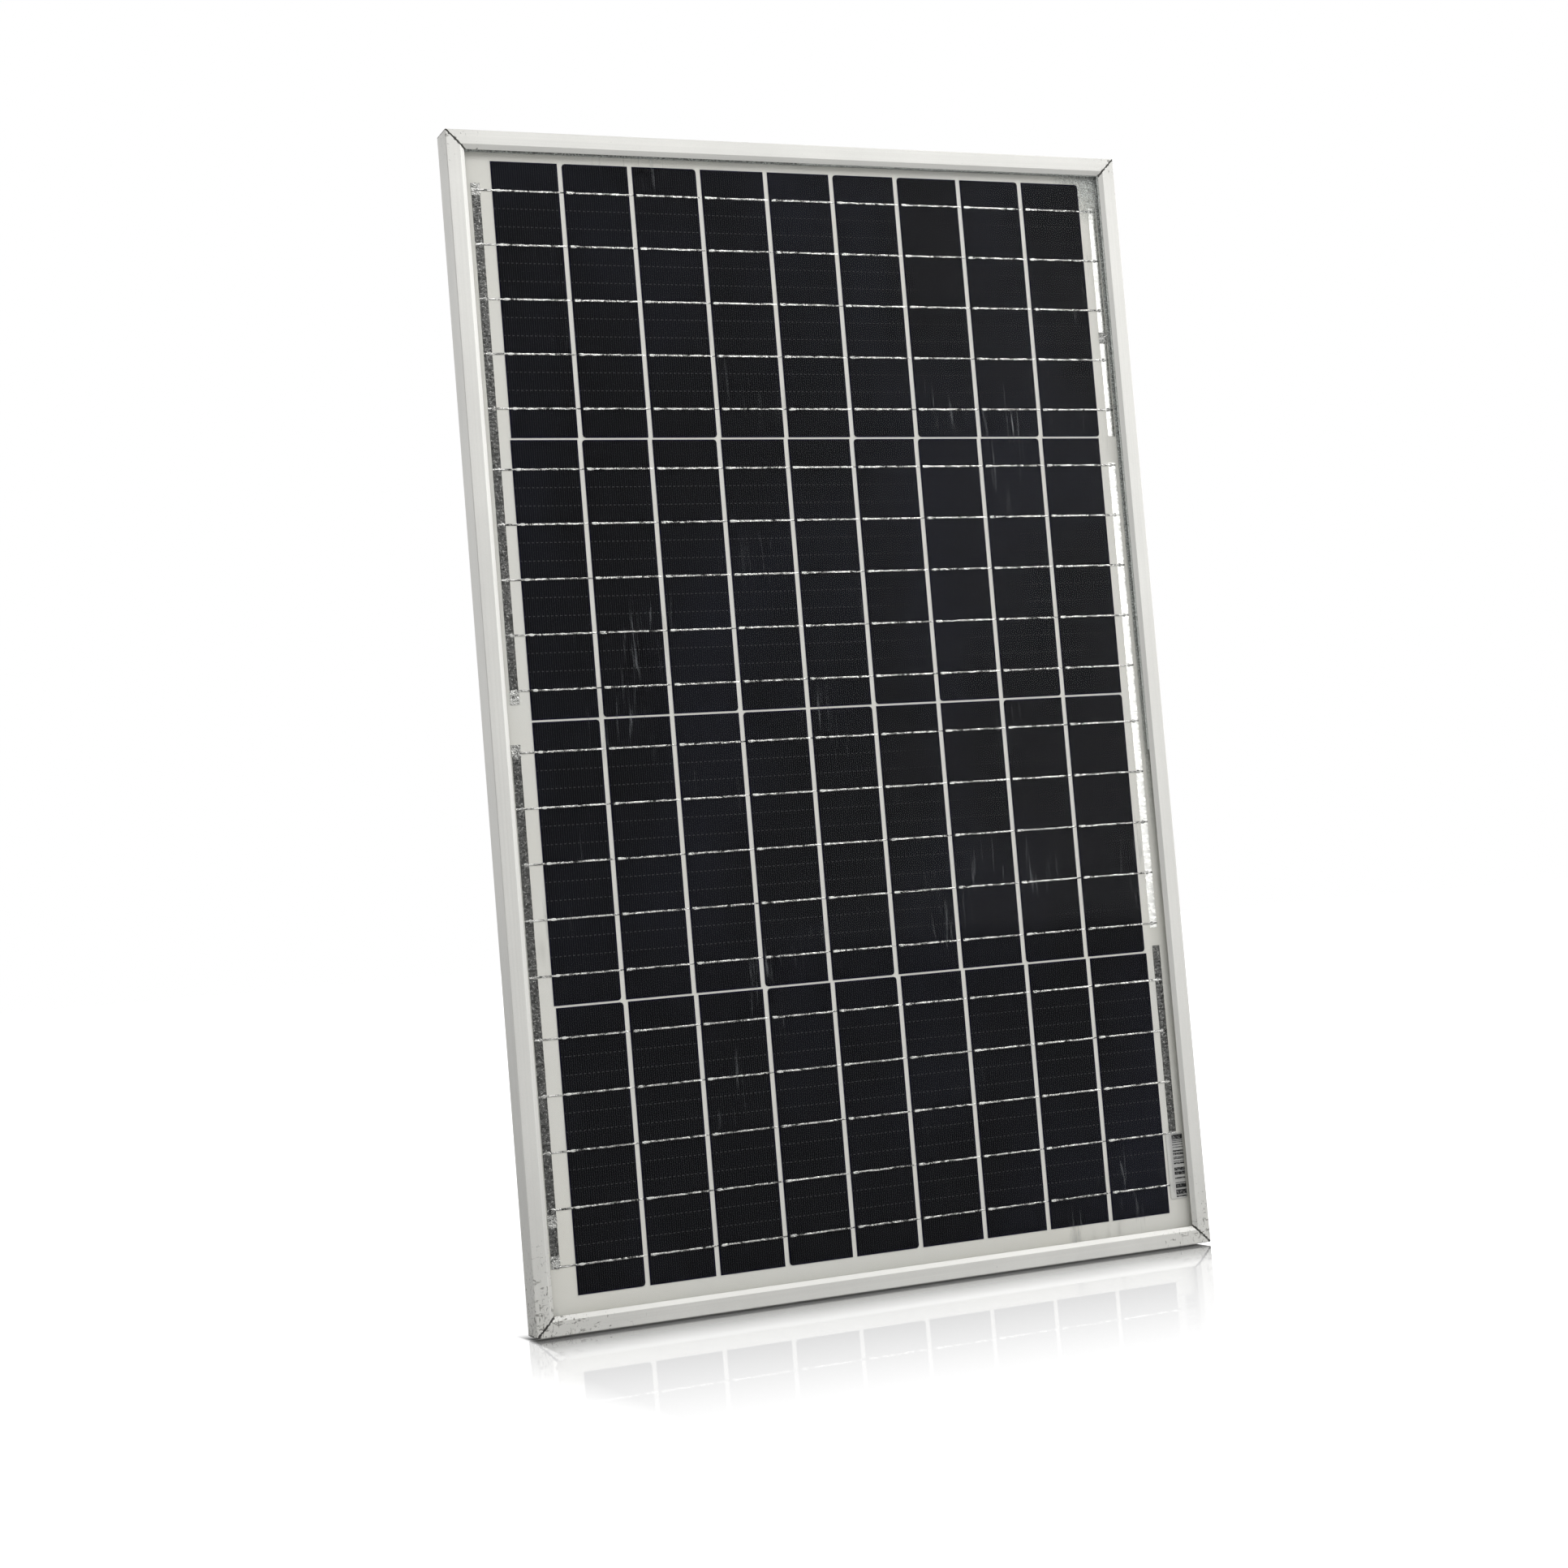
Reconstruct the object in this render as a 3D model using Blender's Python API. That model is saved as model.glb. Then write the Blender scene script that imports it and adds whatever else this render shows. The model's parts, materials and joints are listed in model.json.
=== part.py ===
"""A framed solar panel, standing upright: X runs across it, Z up, and the glass faces -Y.

The origin is at the middle of the bottom edge. Lengths are in metres. A depth is measured back from
the frame's front face, and an inset is measured in from the frame's outer side wall.
"""

import math

import bmesh
import bpy
from mathutils import Vector

# Overlap or gap between faces that would otherwise coincide, and how far a cutter runs past a face
MESH_MARGIN = 0.0001
CUT_OVERRUN = 0.001

SMALL_RADIUS = 0.001

# Frame
PANEL_WIDTH = 0.430
PANEL_HEIGHT = 0.674
FRAME_DEPTH = 0.017
RAIL_WALL = 0.0015
EDGE_CHAMFER = 0.0004
LIP_FLAT = 0.0082
LIP_REACH = 0.0108
LIP_SLOPE_DEPTH = 0.0016
GROOVE_FRONT = 0.0020
GROOVE_REAR = 0.0081
SHELF_REAR = 0.0094
CHAMBER_INSET = 0.0086
CHAMBER_WALL = 0.0014
REAR_WALL = 0.0014
FLANGE_REACH = 0.0210
MITRE_GAP = 0.00015
SLOT_WIDTH = 0.0065
SLOT_LENGTH = 0.0100
SLOT_HEIGHTS = (0.137, 0.537)
SLOT_INSET = 0.0156
EARTH_HOLE_RADIUS = 0.0021
EARTH_HOLE_HEIGHT = 0.337

# Corner keys
KEY_GAP = 0.0003
KEY_LEG = 0.030
KEY_TEETH = 4
TOOTH_PITCH = 0.004
TOOTH_CREST = 0.0032
TOOTH_DEPTH = 0.0005

# Laminate: the depth of each layer's front face, and its thickness
LAMINATE_INSET = 0.0027
GLASS = (0.0026, 0.0032)
FRONT_ENCAPSULANT = (0.00585, 0.0003)
SERIAL_LABEL = (0.0062, 0.0001)
RIBBON = (0.00635, 0.00015)
CELL = (0.00642, 0.0002)
BUS = (0.00655, 0.00015)
REAR_ENCAPSULANT = (0.00675, 0.0003)
LEAD = (0.0071, 0.00015)
BACKSHEET = (0.0073, 0.0003)
BACKSHEET_REAR = BACKSHEET[0] + BACKSHEET[1]
SEAL_GAP = 0.00005
SEAL_SIDE = 0.0010
SEAL_REACH = 0.0098

# Cells: each is a quarter of a square wafer
WAFER = 0.15875
CELL_WIDTH = WAFER / 4
COLUMNS = 9
COLUMN_PITCH = 0.0425
STRINGS = 4
STRING_GAP = 0.0012
STRING_PITCH = WAFER + STRING_GAP
ARRAY_LEFT = 0.0261
ARRAY_TOP = 0.0156
CELL_CHAMFER = 0.0018
# The side of each cell that was the wafer's edge, and so has its two cut corners
CUT_SIDES = ("-LR--LLRR", "-LR--LLR-", "R--LR--LR", "R--LR----")
STRING_SHIFTS = (0.0007, 0.0, 0.0, 0.0010)
RIBBONS = 5
RIBBON_PITCH = 0.0313
RIBBON_WIDTH = 0.0010

# Bus ribbons: left edge and top and bottom, all measured from the cell array's top left corner
BUS_WIDTH = 0.0050
BUS_LEFT_UPPER = (-0.0115, 0.0130, 0.3095)
BUS_LEFT_LOWER = (-0.0131, 0.3320, 0.6226)
BUS_RIGHT = (0.3850, 0.1752, 0.4646)
LEAD_BUS_UPPER = (0.3867, 0.0148, 0.1586)
LEAD_BUS_LOWER = (0.3854, 0.4756, 0.6260)
LEAD_TURN_UPPER = 0.0980
LEAD_TURN_LOWER = 0.4850
FOLD_THICKNESS = 0.0008
LEAD_SLOT = (0.0060, 0.0018)

# Labels
SERIAL_SIZE = (0.0116, 0.0398)
SERIAL_CORNER = (0.3824, 0.5909)
RATING_SIZE = (0.090, 0.060)
RATING_CENTRE = (-0.085, 0.330)
LABEL_THICKNESS = 0.0001

# Junction box, on the backsheet: x and z of its centre, then sizes
BOX_X = 0.100
BOX_SIZE = (0.070, 0.052)
BOX_CORNER = 0.004
BOX_WALL = 0.0020
PAD = (0.00765, 0.0005)
PAD_INSET = 0.001
PAD_WINDOW = (0.038, 0.005)
BOX_BACK = 0.0082
BOX_FLOOR = 0.0095
BOX_RIM = 0.0150
GASKET = (0.01505, 0.0005)
GASKET_INSET = 0.0002
LID_UNDER = 0.0156
LID_OUTER = 0.0169
LID_CHAMFER = 0.0006
LID_RIB = 0.0010
LID_RIB_GAP = 0.0003
LID_RIB_DEPTH = 0.0009
HINGE_OFFSET = 0.0017
BARREL_RADIUS = 0.00125
PIN_RADIUS = 0.00075
PIN_BORE = 0.00085
PIN_TIP = (0.0006, 0.000525)
PIN_HEAD = (0.0006, 0.00115)
PIN_HEAD_GAP = 0.0003
KNUCKLE_X = 0.020
KNUCKLE_LENGTH = 0.008
LUG_LENGTH = 0.004
LUG_GAP = 0.0003
LUG_RISE = 0.001125
TONGUE_X = 0.026
TONGUE_WIDTH = 0.008
TONGUE_GAP = 0.0005
TONGUE_THICKNESS = 0.0012
TONGUE_FRONT = 0.0108
CATCH_PROUD = 0.0004
CATCH_DEPTHS = (0.0118, 0.0130)
CATCH_WIDTH = 0.0040
WINDOW_DEPTHS = (0.0116, 0.0138)
WINDOW_WIDTH = 0.0048
GROMMET_X = 0.012
GROMMET_DEPTH = 0.01205
GROMMET_HOLE = 0.00235
GROMMET_BORE = 0.0018
GROMMET_NOSE = (0.0024, 0.0027, 0.0032)
GROMMET_LIP = (0.0012, 0.0023, 0.0025)
TERMINAL_X = 0.014
TERMINAL_SIZE = (0.009, 0.024)
PEDESTAL_REAR = 0.0106
PEDESTAL_MARGIN = 0.0005
TERMINAL = (0.01065, 0.0008)
TAB = (0.0115, 0.00015)
SCREW_HEIGHTS = (-0.0075, 0.0015)
SCREW_HEAD = (0.0117, 0.0016)
SCREW_HEAD_RADIUS = 0.0025
SCREW_SHANK_RADIUS = 0.0014
SCREW_HOLE_RADIUS = 0.0016
SCREW_TIP = 0.0099
SCREW_TIP_TAPER = 0.0003
SCREW_HEAD_ROUND = 0.0005
SCREW_HOLE_END = 0.0097
DRIVE_SLOT = (0.0036, 0.0007, 0.0008)
DIODE_HEIGHT = -0.0030
DIODE_DEPTH = 0.01185
DIODE_BODY = (0.0045, 0.0017)
DIODE_EDGE = (0.0004, 0.0003)
DIODE_LEAD = (0.0170, 0.00035)
LEAD_HEIGHT = 0.0152
TAB_BOTTOM = 0.0070

BOX_Z = PANEL_HEIGHT - ARRAY_TOP - LEAD_TURN_UPPER - LEAD_HEIGHT
HINGE_Z = BOX_Z + BOX_SIZE[1] / 2 + HINGE_OFFSET
ROUND_SIDES = 20
SCREW_SIDES = 16


def clear_scene():
    for obj in list(bpy.data.objects):
        bpy.data.objects.remove(obj, do_unlink=True)


def point(x, depth, z):
    """The place at this depth behind the frame's front face."""
    return Vector((x, depth - FRAME_DEPTH / 2, z))


def array_x(right):
    """World x of a distance to the right of the cell array's left edge."""
    return right + ARRAY_LEFT - PANEL_WIDTH / 2


def array_z(down):
    """World z of a distance below the cell array's top edge."""
    return PANEL_HEIGHT - ARRAY_TOP - down


# Materials


def material(name, colour, roughness, metallic=0.0, alpha=1.0):
    made = bpy.data.materials.new(name)
    made.use_nodes = True
    shader = made.node_tree.nodes["Principled BSDF"]
    shader.inputs["Base Color"].default_value = (*colour, 1.0)
    shader.inputs["Roughness"].default_value = roughness
    shader.inputs["Metallic"].default_value = metallic
    shader.inputs["Alpha"].default_value = alpha
    made.diffuse_color = (*colour, alpha)
    made.roughness = roughness
    made.metallic = metallic
    return made


def aluminium():
    return material("anodised_aluminium", (0.62, 0.62, 0.60), 0.42, 0.9)


def die_cast():
    return material("die_cast_aluminium", (0.40, 0.41, 0.42), 0.55, 0.9)


def sealant():
    return material("edge_sealant", (0.70, 0.70, 0.67), 0.6)


def glass():
    return material("cover_glass", (0.90, 0.95, 0.93), 0.08, alpha=0.25)


def clear_film():
    return material("encapsulant", (0.92, 0.93, 0.92), 0.3, alpha=0.15)


def silicon():
    return material("silicon_cell", (0.012, 0.013, 0.020), 0.35)


def tinned_copper():
    return material("tinned_ribbon", (0.55, 0.55, 0.54), 0.35, 0.9)


def white_film():
    return material("white_encapsulant", (0.74, 0.74, 0.71), 0.45)


def white_sheet():
    return material("backsheet", (0.72, 0.72, 0.69), 0.55)


def label_film():
    return material("label_film", (0.78, 0.78, 0.76), 0.4)


def black_plastic():
    return material("black_plastic", (0.018, 0.018, 0.020), 0.45)


def black_rubber():
    return material("black_rubber", (0.025, 0.025, 0.025), 0.8)


def foam():
    return material("adhesive_foam", (0.10, 0.10, 0.10), 0.9)


def brass():
    return material("brass", (0.62, 0.45, 0.16), 0.35, 1.0)


def steel():
    return material("zinc_plated_steel", (0.58, 0.58, 0.56), 0.35, 1.0)


def diode_resin():
    return material("diode_resin", (0.03, 0.03, 0.03), 0.4)


# Shapes


def build_object(name, shape, finish=None, origin=Vector((0, 0, 0))):
    """Turns a bmesh in world coordinates into an object whose own origin is at the given place."""
    bmesh.ops.recalc_face_normals(shape, faces=shape.faces)
    bmesh.ops.translate(shape, verts=shape.verts, vec=-origin)
    mesh = bpy.data.meshes.new(name)
    shape.to_mesh(mesh)
    shape.free()
    obj = bpy.data.objects.new(name, mesh)
    obj.location = origin
    if finish:
        mesh.materials.append(finish)
    bpy.context.collection.objects.link(obj)
    return obj


def combine(obj, operation, shape):
    """Adds a helper shape to an object, or cuts it away, with a live Boolean."""
    helper = build_object(f"{obj.name}_{operation.lower()}", shape)
    helper.hide_render = True
    helper.display_type = "WIRE"
    modifier = obj.modifiers.new(operation.title(), "BOOLEAN")
    modifier.operation = operation
    modifier.solver = "EXACT"
    modifier.use_self = True
    modifier.object = helper


def shade_round(obj, sharp_angle=math.radians(40)):
    obj.data.shade_smooth()
    obj.data.set_sharp_from_angle(angle=sharp_angle)


def add_box(shape, low, high):
    """Adds a box between two world points."""
    corners = [
        shape.verts.new((x, y, z))
        for x in (low[0], high[0])
        for y in (low[1], high[1])
        for z in (low[2], high[2])
    ]
    for face in ((0, 1, 3, 2), (4, 6, 7, 5), (0, 4, 5, 1), (2, 3, 7, 6), (0, 2, 6, 4), (1, 5, 7, 3)):
        shape.faces.new([corners[index] for index in face])


def add_plate(shape, x_range, z_range, layer):
    """Adds a flat box that fills a layer, given as its front depth and its thickness."""
    front, thickness = layer
    low = point(min(x_range), front, min(z_range))
    high = point(max(x_range), front + thickness, max(z_range))
    add_box(shape, low, high)


def loft(shape, loops, closed=False):
    """Joins loops of points, which all have the same count, with bands of faces.

    The first and last loop are capped, or with closed they are joined to each other.
    """
    rings = [[shape.verts.new(place) for place in loop] for loop in loops]
    pairs = list(zip(rings, rings[1:]))
    if closed:
        pairs.append((rings[-1], rings[0]))
    else:
        shape.faces.new(list(reversed(rings[0])))
        shape.faces.new(rings[-1])
    for ring, following in pairs:
        for index in range(len(ring)):
            after = (index + 1) % len(ring)
            shape.faces.new((ring[index], ring[after], following[after], following[index]))


def add_prism(shape, outline, layer):
    """Adds an outline of (x, z) points, extruded through a layer."""
    front, thickness = layer
    loft(shape, [[point(x, depth, z) for x, z in outline] for depth in (front, front + thickness)])


def circle(radius, sides=ROUND_SIDES):
    """Points of a circle, turned by half a side so that two flats face each way."""
    return [
        (radius * math.cos(turn), radius * math.sin(turn))
        for turn in (2 * math.pi * (side + 0.5) / sides for side in range(sides))
    ]


def rounded_rectangle(width, height, radius, centre=(0.0, 0.0), steps=5):
    """Points of a rectangle with round corners, each corner an arc."""
    outline = []
    for quarter, (right, up) in enumerate(((1, 1), (-1, 1), (-1, -1), (1, -1))):
        middle_x = centre[0] + right * (width / 2 - radius)
        middle_z = centre[1] + up * (height / 2 - radius)
        for step in range(steps + 1):
            turn = math.pi / 2 * (quarter + step / steps)
            outline.append((middle_x + radius * math.cos(turn), middle_z + radius * math.sin(turn)))
    return outline


def slot_outline(x, z, width, length, steps=6):
    """Points of an upright slot with half-round ends."""
    outline = []
    for start, side in ((0, 1), (math.pi, -1)):
        middle_z = z + side * (length - width) / 2
        for step in range(steps + 1):
            turn = start + math.pi * step / steps
            outline.append((x + width / 2 * math.cos(turn), middle_z + width / 2 * math.sin(turn)))
    return outline


def lathe(shape, profile, centre, axis, hollow=False, sides=ROUND_SIDES):
    """Turns a profile of (distance along the axis, radius) about the X, Y or Z axis through centre."""
    loops = []
    for along, radius in profile:
        loop = []
        for across, beside in circle(radius, sides):
            offset = {
                "X": Vector((along, across, beside)),
                "Y": Vector((across, along, beside)),
                "Z": Vector((across, beside, along)),
            }[axis]
            loop.append(centre + offset)
        loops.append(loop)
    loft(shape, loops, closed=hollow)


# Frame


def rail_profile():
    """The rail's section as (inset, depth) points: its outside, then the chamber for the corner keys."""
    flange_front = FRAME_DEPTH - REAR_WALL
    outside = [
        (0, EDGE_CHAMFER),
        (EDGE_CHAMFER, 0),
        (LIP_FLAT, 0),
        (LIP_REACH, LIP_SLOPE_DEPTH),
        (LIP_REACH, GROOVE_FRONT),
        (RAIL_WALL, GROOVE_FRONT),
        (RAIL_WALL, GROOVE_REAR),
        (CHAMBER_INSET + CHAMBER_WALL, GROOVE_REAR),
        (CHAMBER_INSET + CHAMBER_WALL, flange_front),
        (FLANGE_REACH, flange_front),
        (FLANGE_REACH, FRAME_DEPTH),
        (EDGE_CHAMFER, FRAME_DEPTH),
        (0, FRAME_DEPTH - EDGE_CHAMFER),
    ]
    chamber = [
        (RAIL_WALL, SHELF_REAR),
        (CHAMBER_INSET, SHELF_REAR),
        (CHAMBER_INSET, flange_front),
        (RAIL_WALL, flange_front),
    ]
    return outside, chamber


def rail_point(side, along, inset, depth):
    """A place on a rail: along is measured from the middle of its side of the frame."""
    half_width = PANEL_WIDTH / 2
    if side == "left":
        return point(inset - half_width, depth, PANEL_HEIGHT / 2 + along)
    if side == "right":
        return point(half_width - inset, depth, PANEL_HEIGHT / 2 + along)
    if side == "bottom":
        return point(along, depth, inset)
    return point(along, depth, PANEL_HEIGHT - inset)


def frame_rail(side):
    """A mitred length of the frame's section, with its mounting slots on the two long sides."""
    upright = side in ("left", "right")
    half_length = (PANEL_HEIGHT if upright else PANEL_WIDTH) / 2
    shape = bmesh.new()
    end_edges = {-1: [], 1: []}
    for loop in rail_profile():
        rings = {}
        for end in end_edges:
            rings[end] = [
                shape.verts.new(rail_point(side, end * (half_length - inset - MITRE_GAP), inset, depth))
                for inset, depth in loop
            ]
        for index in range(len(loop)):
            after = (index + 1) % len(loop)
            corners = (rings[-1][index], rings[-1][after], rings[1][after], rings[1][index])
            shape.faces.new(corners)
            for end, edges in end_edges.items():
                edges.append(shape.edges.get((rings[end][index], rings[end][after])))
    for edges in end_edges.values():
        bmesh.ops.triangle_fill(shape, use_beauty=True, edges=edges)
    rail = build_object(f"frame_rail_{side}", shape, aluminium())
    if upright:
        combine(rail, "DIFFERENCE", rail_holes(side))
    return rail


def rail_holes(side):
    """The mounting slots and the earthing hole through a long rail's rear flange."""
    shape = bmesh.new()
    x = rail_point(side, 0, SLOT_INSET, 0).x
    cut = (FRAME_DEPTH - 2 * REAR_WALL, 3 * REAR_WALL)
    for z in SLOT_HEIGHTS:
        add_prism(shape, slot_outline(x, z, SLOT_WIDTH, SLOT_LENGTH), cut)
    earth = circle(EARTH_HOLE_RADIUS, SCREW_SIDES)
    hole = [(x + across, EARTH_HOLE_HEIGHT + up) for across, up in earth]
    add_prism(shape, hole, cut)
    return shape


def key_outline():
    """The corner key's L, as distances in from the frame's two outer walls, with barbs on each leg."""
    outer = RAIL_WALL + KEY_GAP
    inner = CHAMBER_INSET - KEY_GAP
    leg = [(KEY_LEG, outer), (KEY_LEG, inner - TOOTH_DEPTH)]
    for tooth in range(KEY_TEETH):
        start = KEY_LEG - tooth * TOOTH_PITCH
        leg += [(start - TOOTH_CREST, inner), (start - TOOTH_PITCH, inner - TOOTH_DEPTH)]
    mirrored = [(down, across) for across, down in reversed(leg)]
    return [(outer, outer)] + leg + [(inner - TOOTH_DEPTH, inner - TOOTH_DEPTH)] + mirrored


def corner_key(number, right, top):
    """The L that pushes into two rails' chambers and holds their mitre together."""
    shape = bmesh.new()
    outline = []
    for across, down in key_outline():
        x = PANEL_WIDTH / 2 - across if right else across - PANEL_WIDTH / 2
        outline.append((x, PANEL_HEIGHT - down if top else down))
    chamber_depth = FRAME_DEPTH - REAR_WALL - SHELF_REAR
    add_prism(shape, outline, (SHELF_REAR + KEY_GAP, chamber_depth - 2 * KEY_GAP))
    build_object(f"corner_key_{number}", shape, die_cast())


def edge_seal():
    """The U of sealant that goes round the laminate's edge in the frame's groove."""
    front = GROOVE_FRONT + SEAL_GAP
    rear = GROOVE_REAR - SEAL_GAP
    outer = RAIL_WALL + SEAL_GAP
    inner = outer + SEAL_SIDE
    profile = [
        (outer, front),
        (SEAL_REACH, front),
        (SEAL_REACH, GLASS[0] - SEAL_GAP),
        (inner, GLASS[0] - SEAL_GAP),
        (inner, BACKSHEET_REAR + SEAL_GAP),
        (SEAL_REACH, BACKSHEET_REAR + SEAL_GAP),
        (SEAL_REACH, rear),
        (outer, rear),
    ]
    corners = []
    for right, top in ((0, 0), (1, 0), (1, 1), (0, 1)):
        corners.append(
            [
                point(
                    PANEL_WIDTH / 2 - inset if right else inset - PANEL_WIDTH / 2,
                    depth,
                    PANEL_HEIGHT - inset if top else inset,
                )
                for inset, depth in profile
            ]
        )
    shape = bmesh.new()
    loft(shape, corners, closed=True)
    build_object("edge_seal", shape, sealant())


# Laminate


def laminate_sheet(name, layer, finish):
    shape = bmesh.new()
    half = PANEL_WIDTH / 2 - LAMINATE_INSET
    add_plate(shape, (-half, half), (LAMINATE_INSET, PANEL_HEIGHT - LAMINATE_INSET), layer)
    return build_object(name, shape, finish)


def slots_for_leads(places, layer, across):
    """Cutters for the slots that the lead ribbons pass through, at (x, z) places."""
    shape = bmesh.new()
    wide, narrow = LEAD_SLOT if across else reversed(LEAD_SLOT)
    for x, z in places:
        front, thickness = layer
        cut = (front - thickness, 3 * thickness)
        add_plate(shape, (x - wide / 2, x + wide / 2), (z - narrow / 2, z + narrow / 2), cut)
    return shape


def cell_outline(left, top, cut_side):
    """A cell's outline, with both corners cut off on the side that was the wafer's edge."""
    right = left + CELL_WIDTH
    bottom = top - WAFER
    left_cut = CELL_CHAMFER if cut_side == "L" else 0
    right_cut = CELL_CHAMFER if cut_side == "R" else 0
    outline = []
    for x, inward, cut, ends in ((left, 1, left_cut, (bottom, top)), (right, -1, right_cut, (top, bottom))):
        for index, z in enumerate(ends):
            to_middle = 1 if z == bottom else -1
            corner = [(x + inward * cut, z), (x, z + to_middle * cut)] if cut else [(x, z)]
            outline += corner if index == 0 else reversed(corner)
    return outline


def ribbon_heights(string):
    """The z of each of a string's five ribbons."""
    first = (WAFER - (RIBBONS - 1) * RIBBON_PITCH) / 2
    return [array_z(string * STRING_PITCH + first + index * RIBBON_PITCH) for index in range(RIBBONS)]


def cell_string(string, left_bus, right_bus):
    """Nine cells in a row, soldered together by five ribbons that run on over the bus ribbons."""
    cells = bmesh.new()
    shift = STRING_SHIFTS[string]
    top = array_z(string * STRING_PITCH)
    for column, cut_side in enumerate(CUT_SIDES[string]):
        left = array_x(column * COLUMN_PITCH + shift)
        add_prism(cells, cell_outline(left, top, cut_side), CELL)
    made = build_object(f"cell_string_{string + 1}", cells, silicon())
    ribbons = bmesh.new()
    ends = (array_x(left_bus + SEAL_GAP), array_x(right_bus + BUS_WIDTH - SEAL_GAP))
    for z in ribbon_heights(string):
        add_plate(ribbons, ends, (z - RIBBON_WIDTH / 2, z + RIBBON_WIDTH / 2), RIBBON)
    combine(made, "UNION", ribbons)


def bus_ribbon(name, place):
    """A wide ribbon down the ends of two strings, which joins them in series."""
    left, top, bottom = place
    shape = bmesh.new()
    add_plate(shape, (array_x(left), array_x(left + BUS_WIDTH)), (array_z(top), array_z(bottom)), BUS)
    build_object(name, shape, tinned_copper())


def lead_ribbon(name, place, turn, box_x):
    """A string's end ribbon, folded back through the rear encapsulant and led to the junction box."""
    left, top, bottom = place
    x = array_x(left)
    z = array_z(turn)
    lead_x = BOX_X + box_x
    lead_z = BOX_Z + LEAD_HEIGHT
    half = BUS_WIDTH / 2
    half_fold = FOLD_THICKNESS / 2
    shape = bmesh.new()
    add_plate(shape, (x, x + BUS_WIDTH), (array_z(top), array_z(bottom)), BUS)
    made = build_object(name, shape, tinned_copper())
    run = bmesh.new()
    through = (BUS[0] + BUS[1] / 2, LEAD[0] + LEAD[1] / 2 - BUS[0] - BUS[1] / 2)
    add_plate(run, (x + half - half_fold, x + half + half_fold), (z - half, z + half), through)
    add_plate(run, (lead_x - half, x + half + half_fold), (z - half, z + half), LEAD)
    if abs(z - lead_z) > half:
        add_plate(run, (lead_x - half, lead_x + half), (z - half, lead_z + half_fold), LEAD)
    up_to_box = (LEAD[0] + LEAD[1] / 2, TAB[0] + TAB[1] - LEAD[0] - LEAD[1] / 2)
    add_plate(run, (lead_x - half, lead_x + half), (lead_z - half_fold, lead_z + half_fold), up_to_box)
    add_plate(run, (lead_x - half, lead_x + half), (BOX_Z + TAB_BOTTOM, lead_z), TAB)
    combine(made, "UNION", run)


def labels():
    left, top = SERIAL_CORNER
    middle = (array_x(left + SERIAL_SIZE[0] / 2), array_z(top + SERIAL_SIZE[1] / 2))
    shape = bmesh.new()
    add_prism(shape, rounded_rectangle(*SERIAL_SIZE, SMALL_RADIUS, middle, 3), SERIAL_LABEL)
    build_object("serial_label", shape, label_film())
    shape = bmesh.new()
    outline = rounded_rectangle(*RATING_SIZE, 2 * SMALL_RADIUS, RATING_CENTRE, 3)
    add_prism(shape, outline, (BACKSHEET_REAR + SEAL_GAP, LABEL_THICKNESS))
    build_object("rating_label", shape, label_film())


# Junction box


def box_outline(inset):
    """The box's rounded outline, moved in by a distance."""
    width, height = BOX_SIZE
    return rounded_rectangle(
        width - 2 * inset, height - 2 * inset, BOX_CORNER - inset, (BOX_X, BOX_Z)
    )


def at_depth(outline, depth):
    return [point(x, depth, z) for x, z in outline]


def hinge_bores():
    """A cutter for the pin's bore through all the barrels."""
    shape = bmesh.new()
    reach = KNUCKLE_X + KNUCKLE_LENGTH + LUG_LENGTH
    middle = point(BOX_X, LID_UNDER, HINGE_Z)
    lathe(shape, [(-reach, PIN_BORE), (reach, PIN_BORE)], middle, "X")
    return shape


def add_barrel(shape, x_range, arm_depths, arm_heights):
    """A hinge barrel round the pin's axis, and the arm that carries it from the wall."""
    middle = point(0, LID_UNDER, HINGE_Z)
    lathe(shape, [(x, BARREL_RADIUS) for x in sorted(x_range)], middle, "X")
    low = point(min(x_range), min(arm_depths), min(arm_heights))
    high = point(max(x_range), max(arm_depths), max(arm_heights))
    add_box(shape, low, high)


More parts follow.
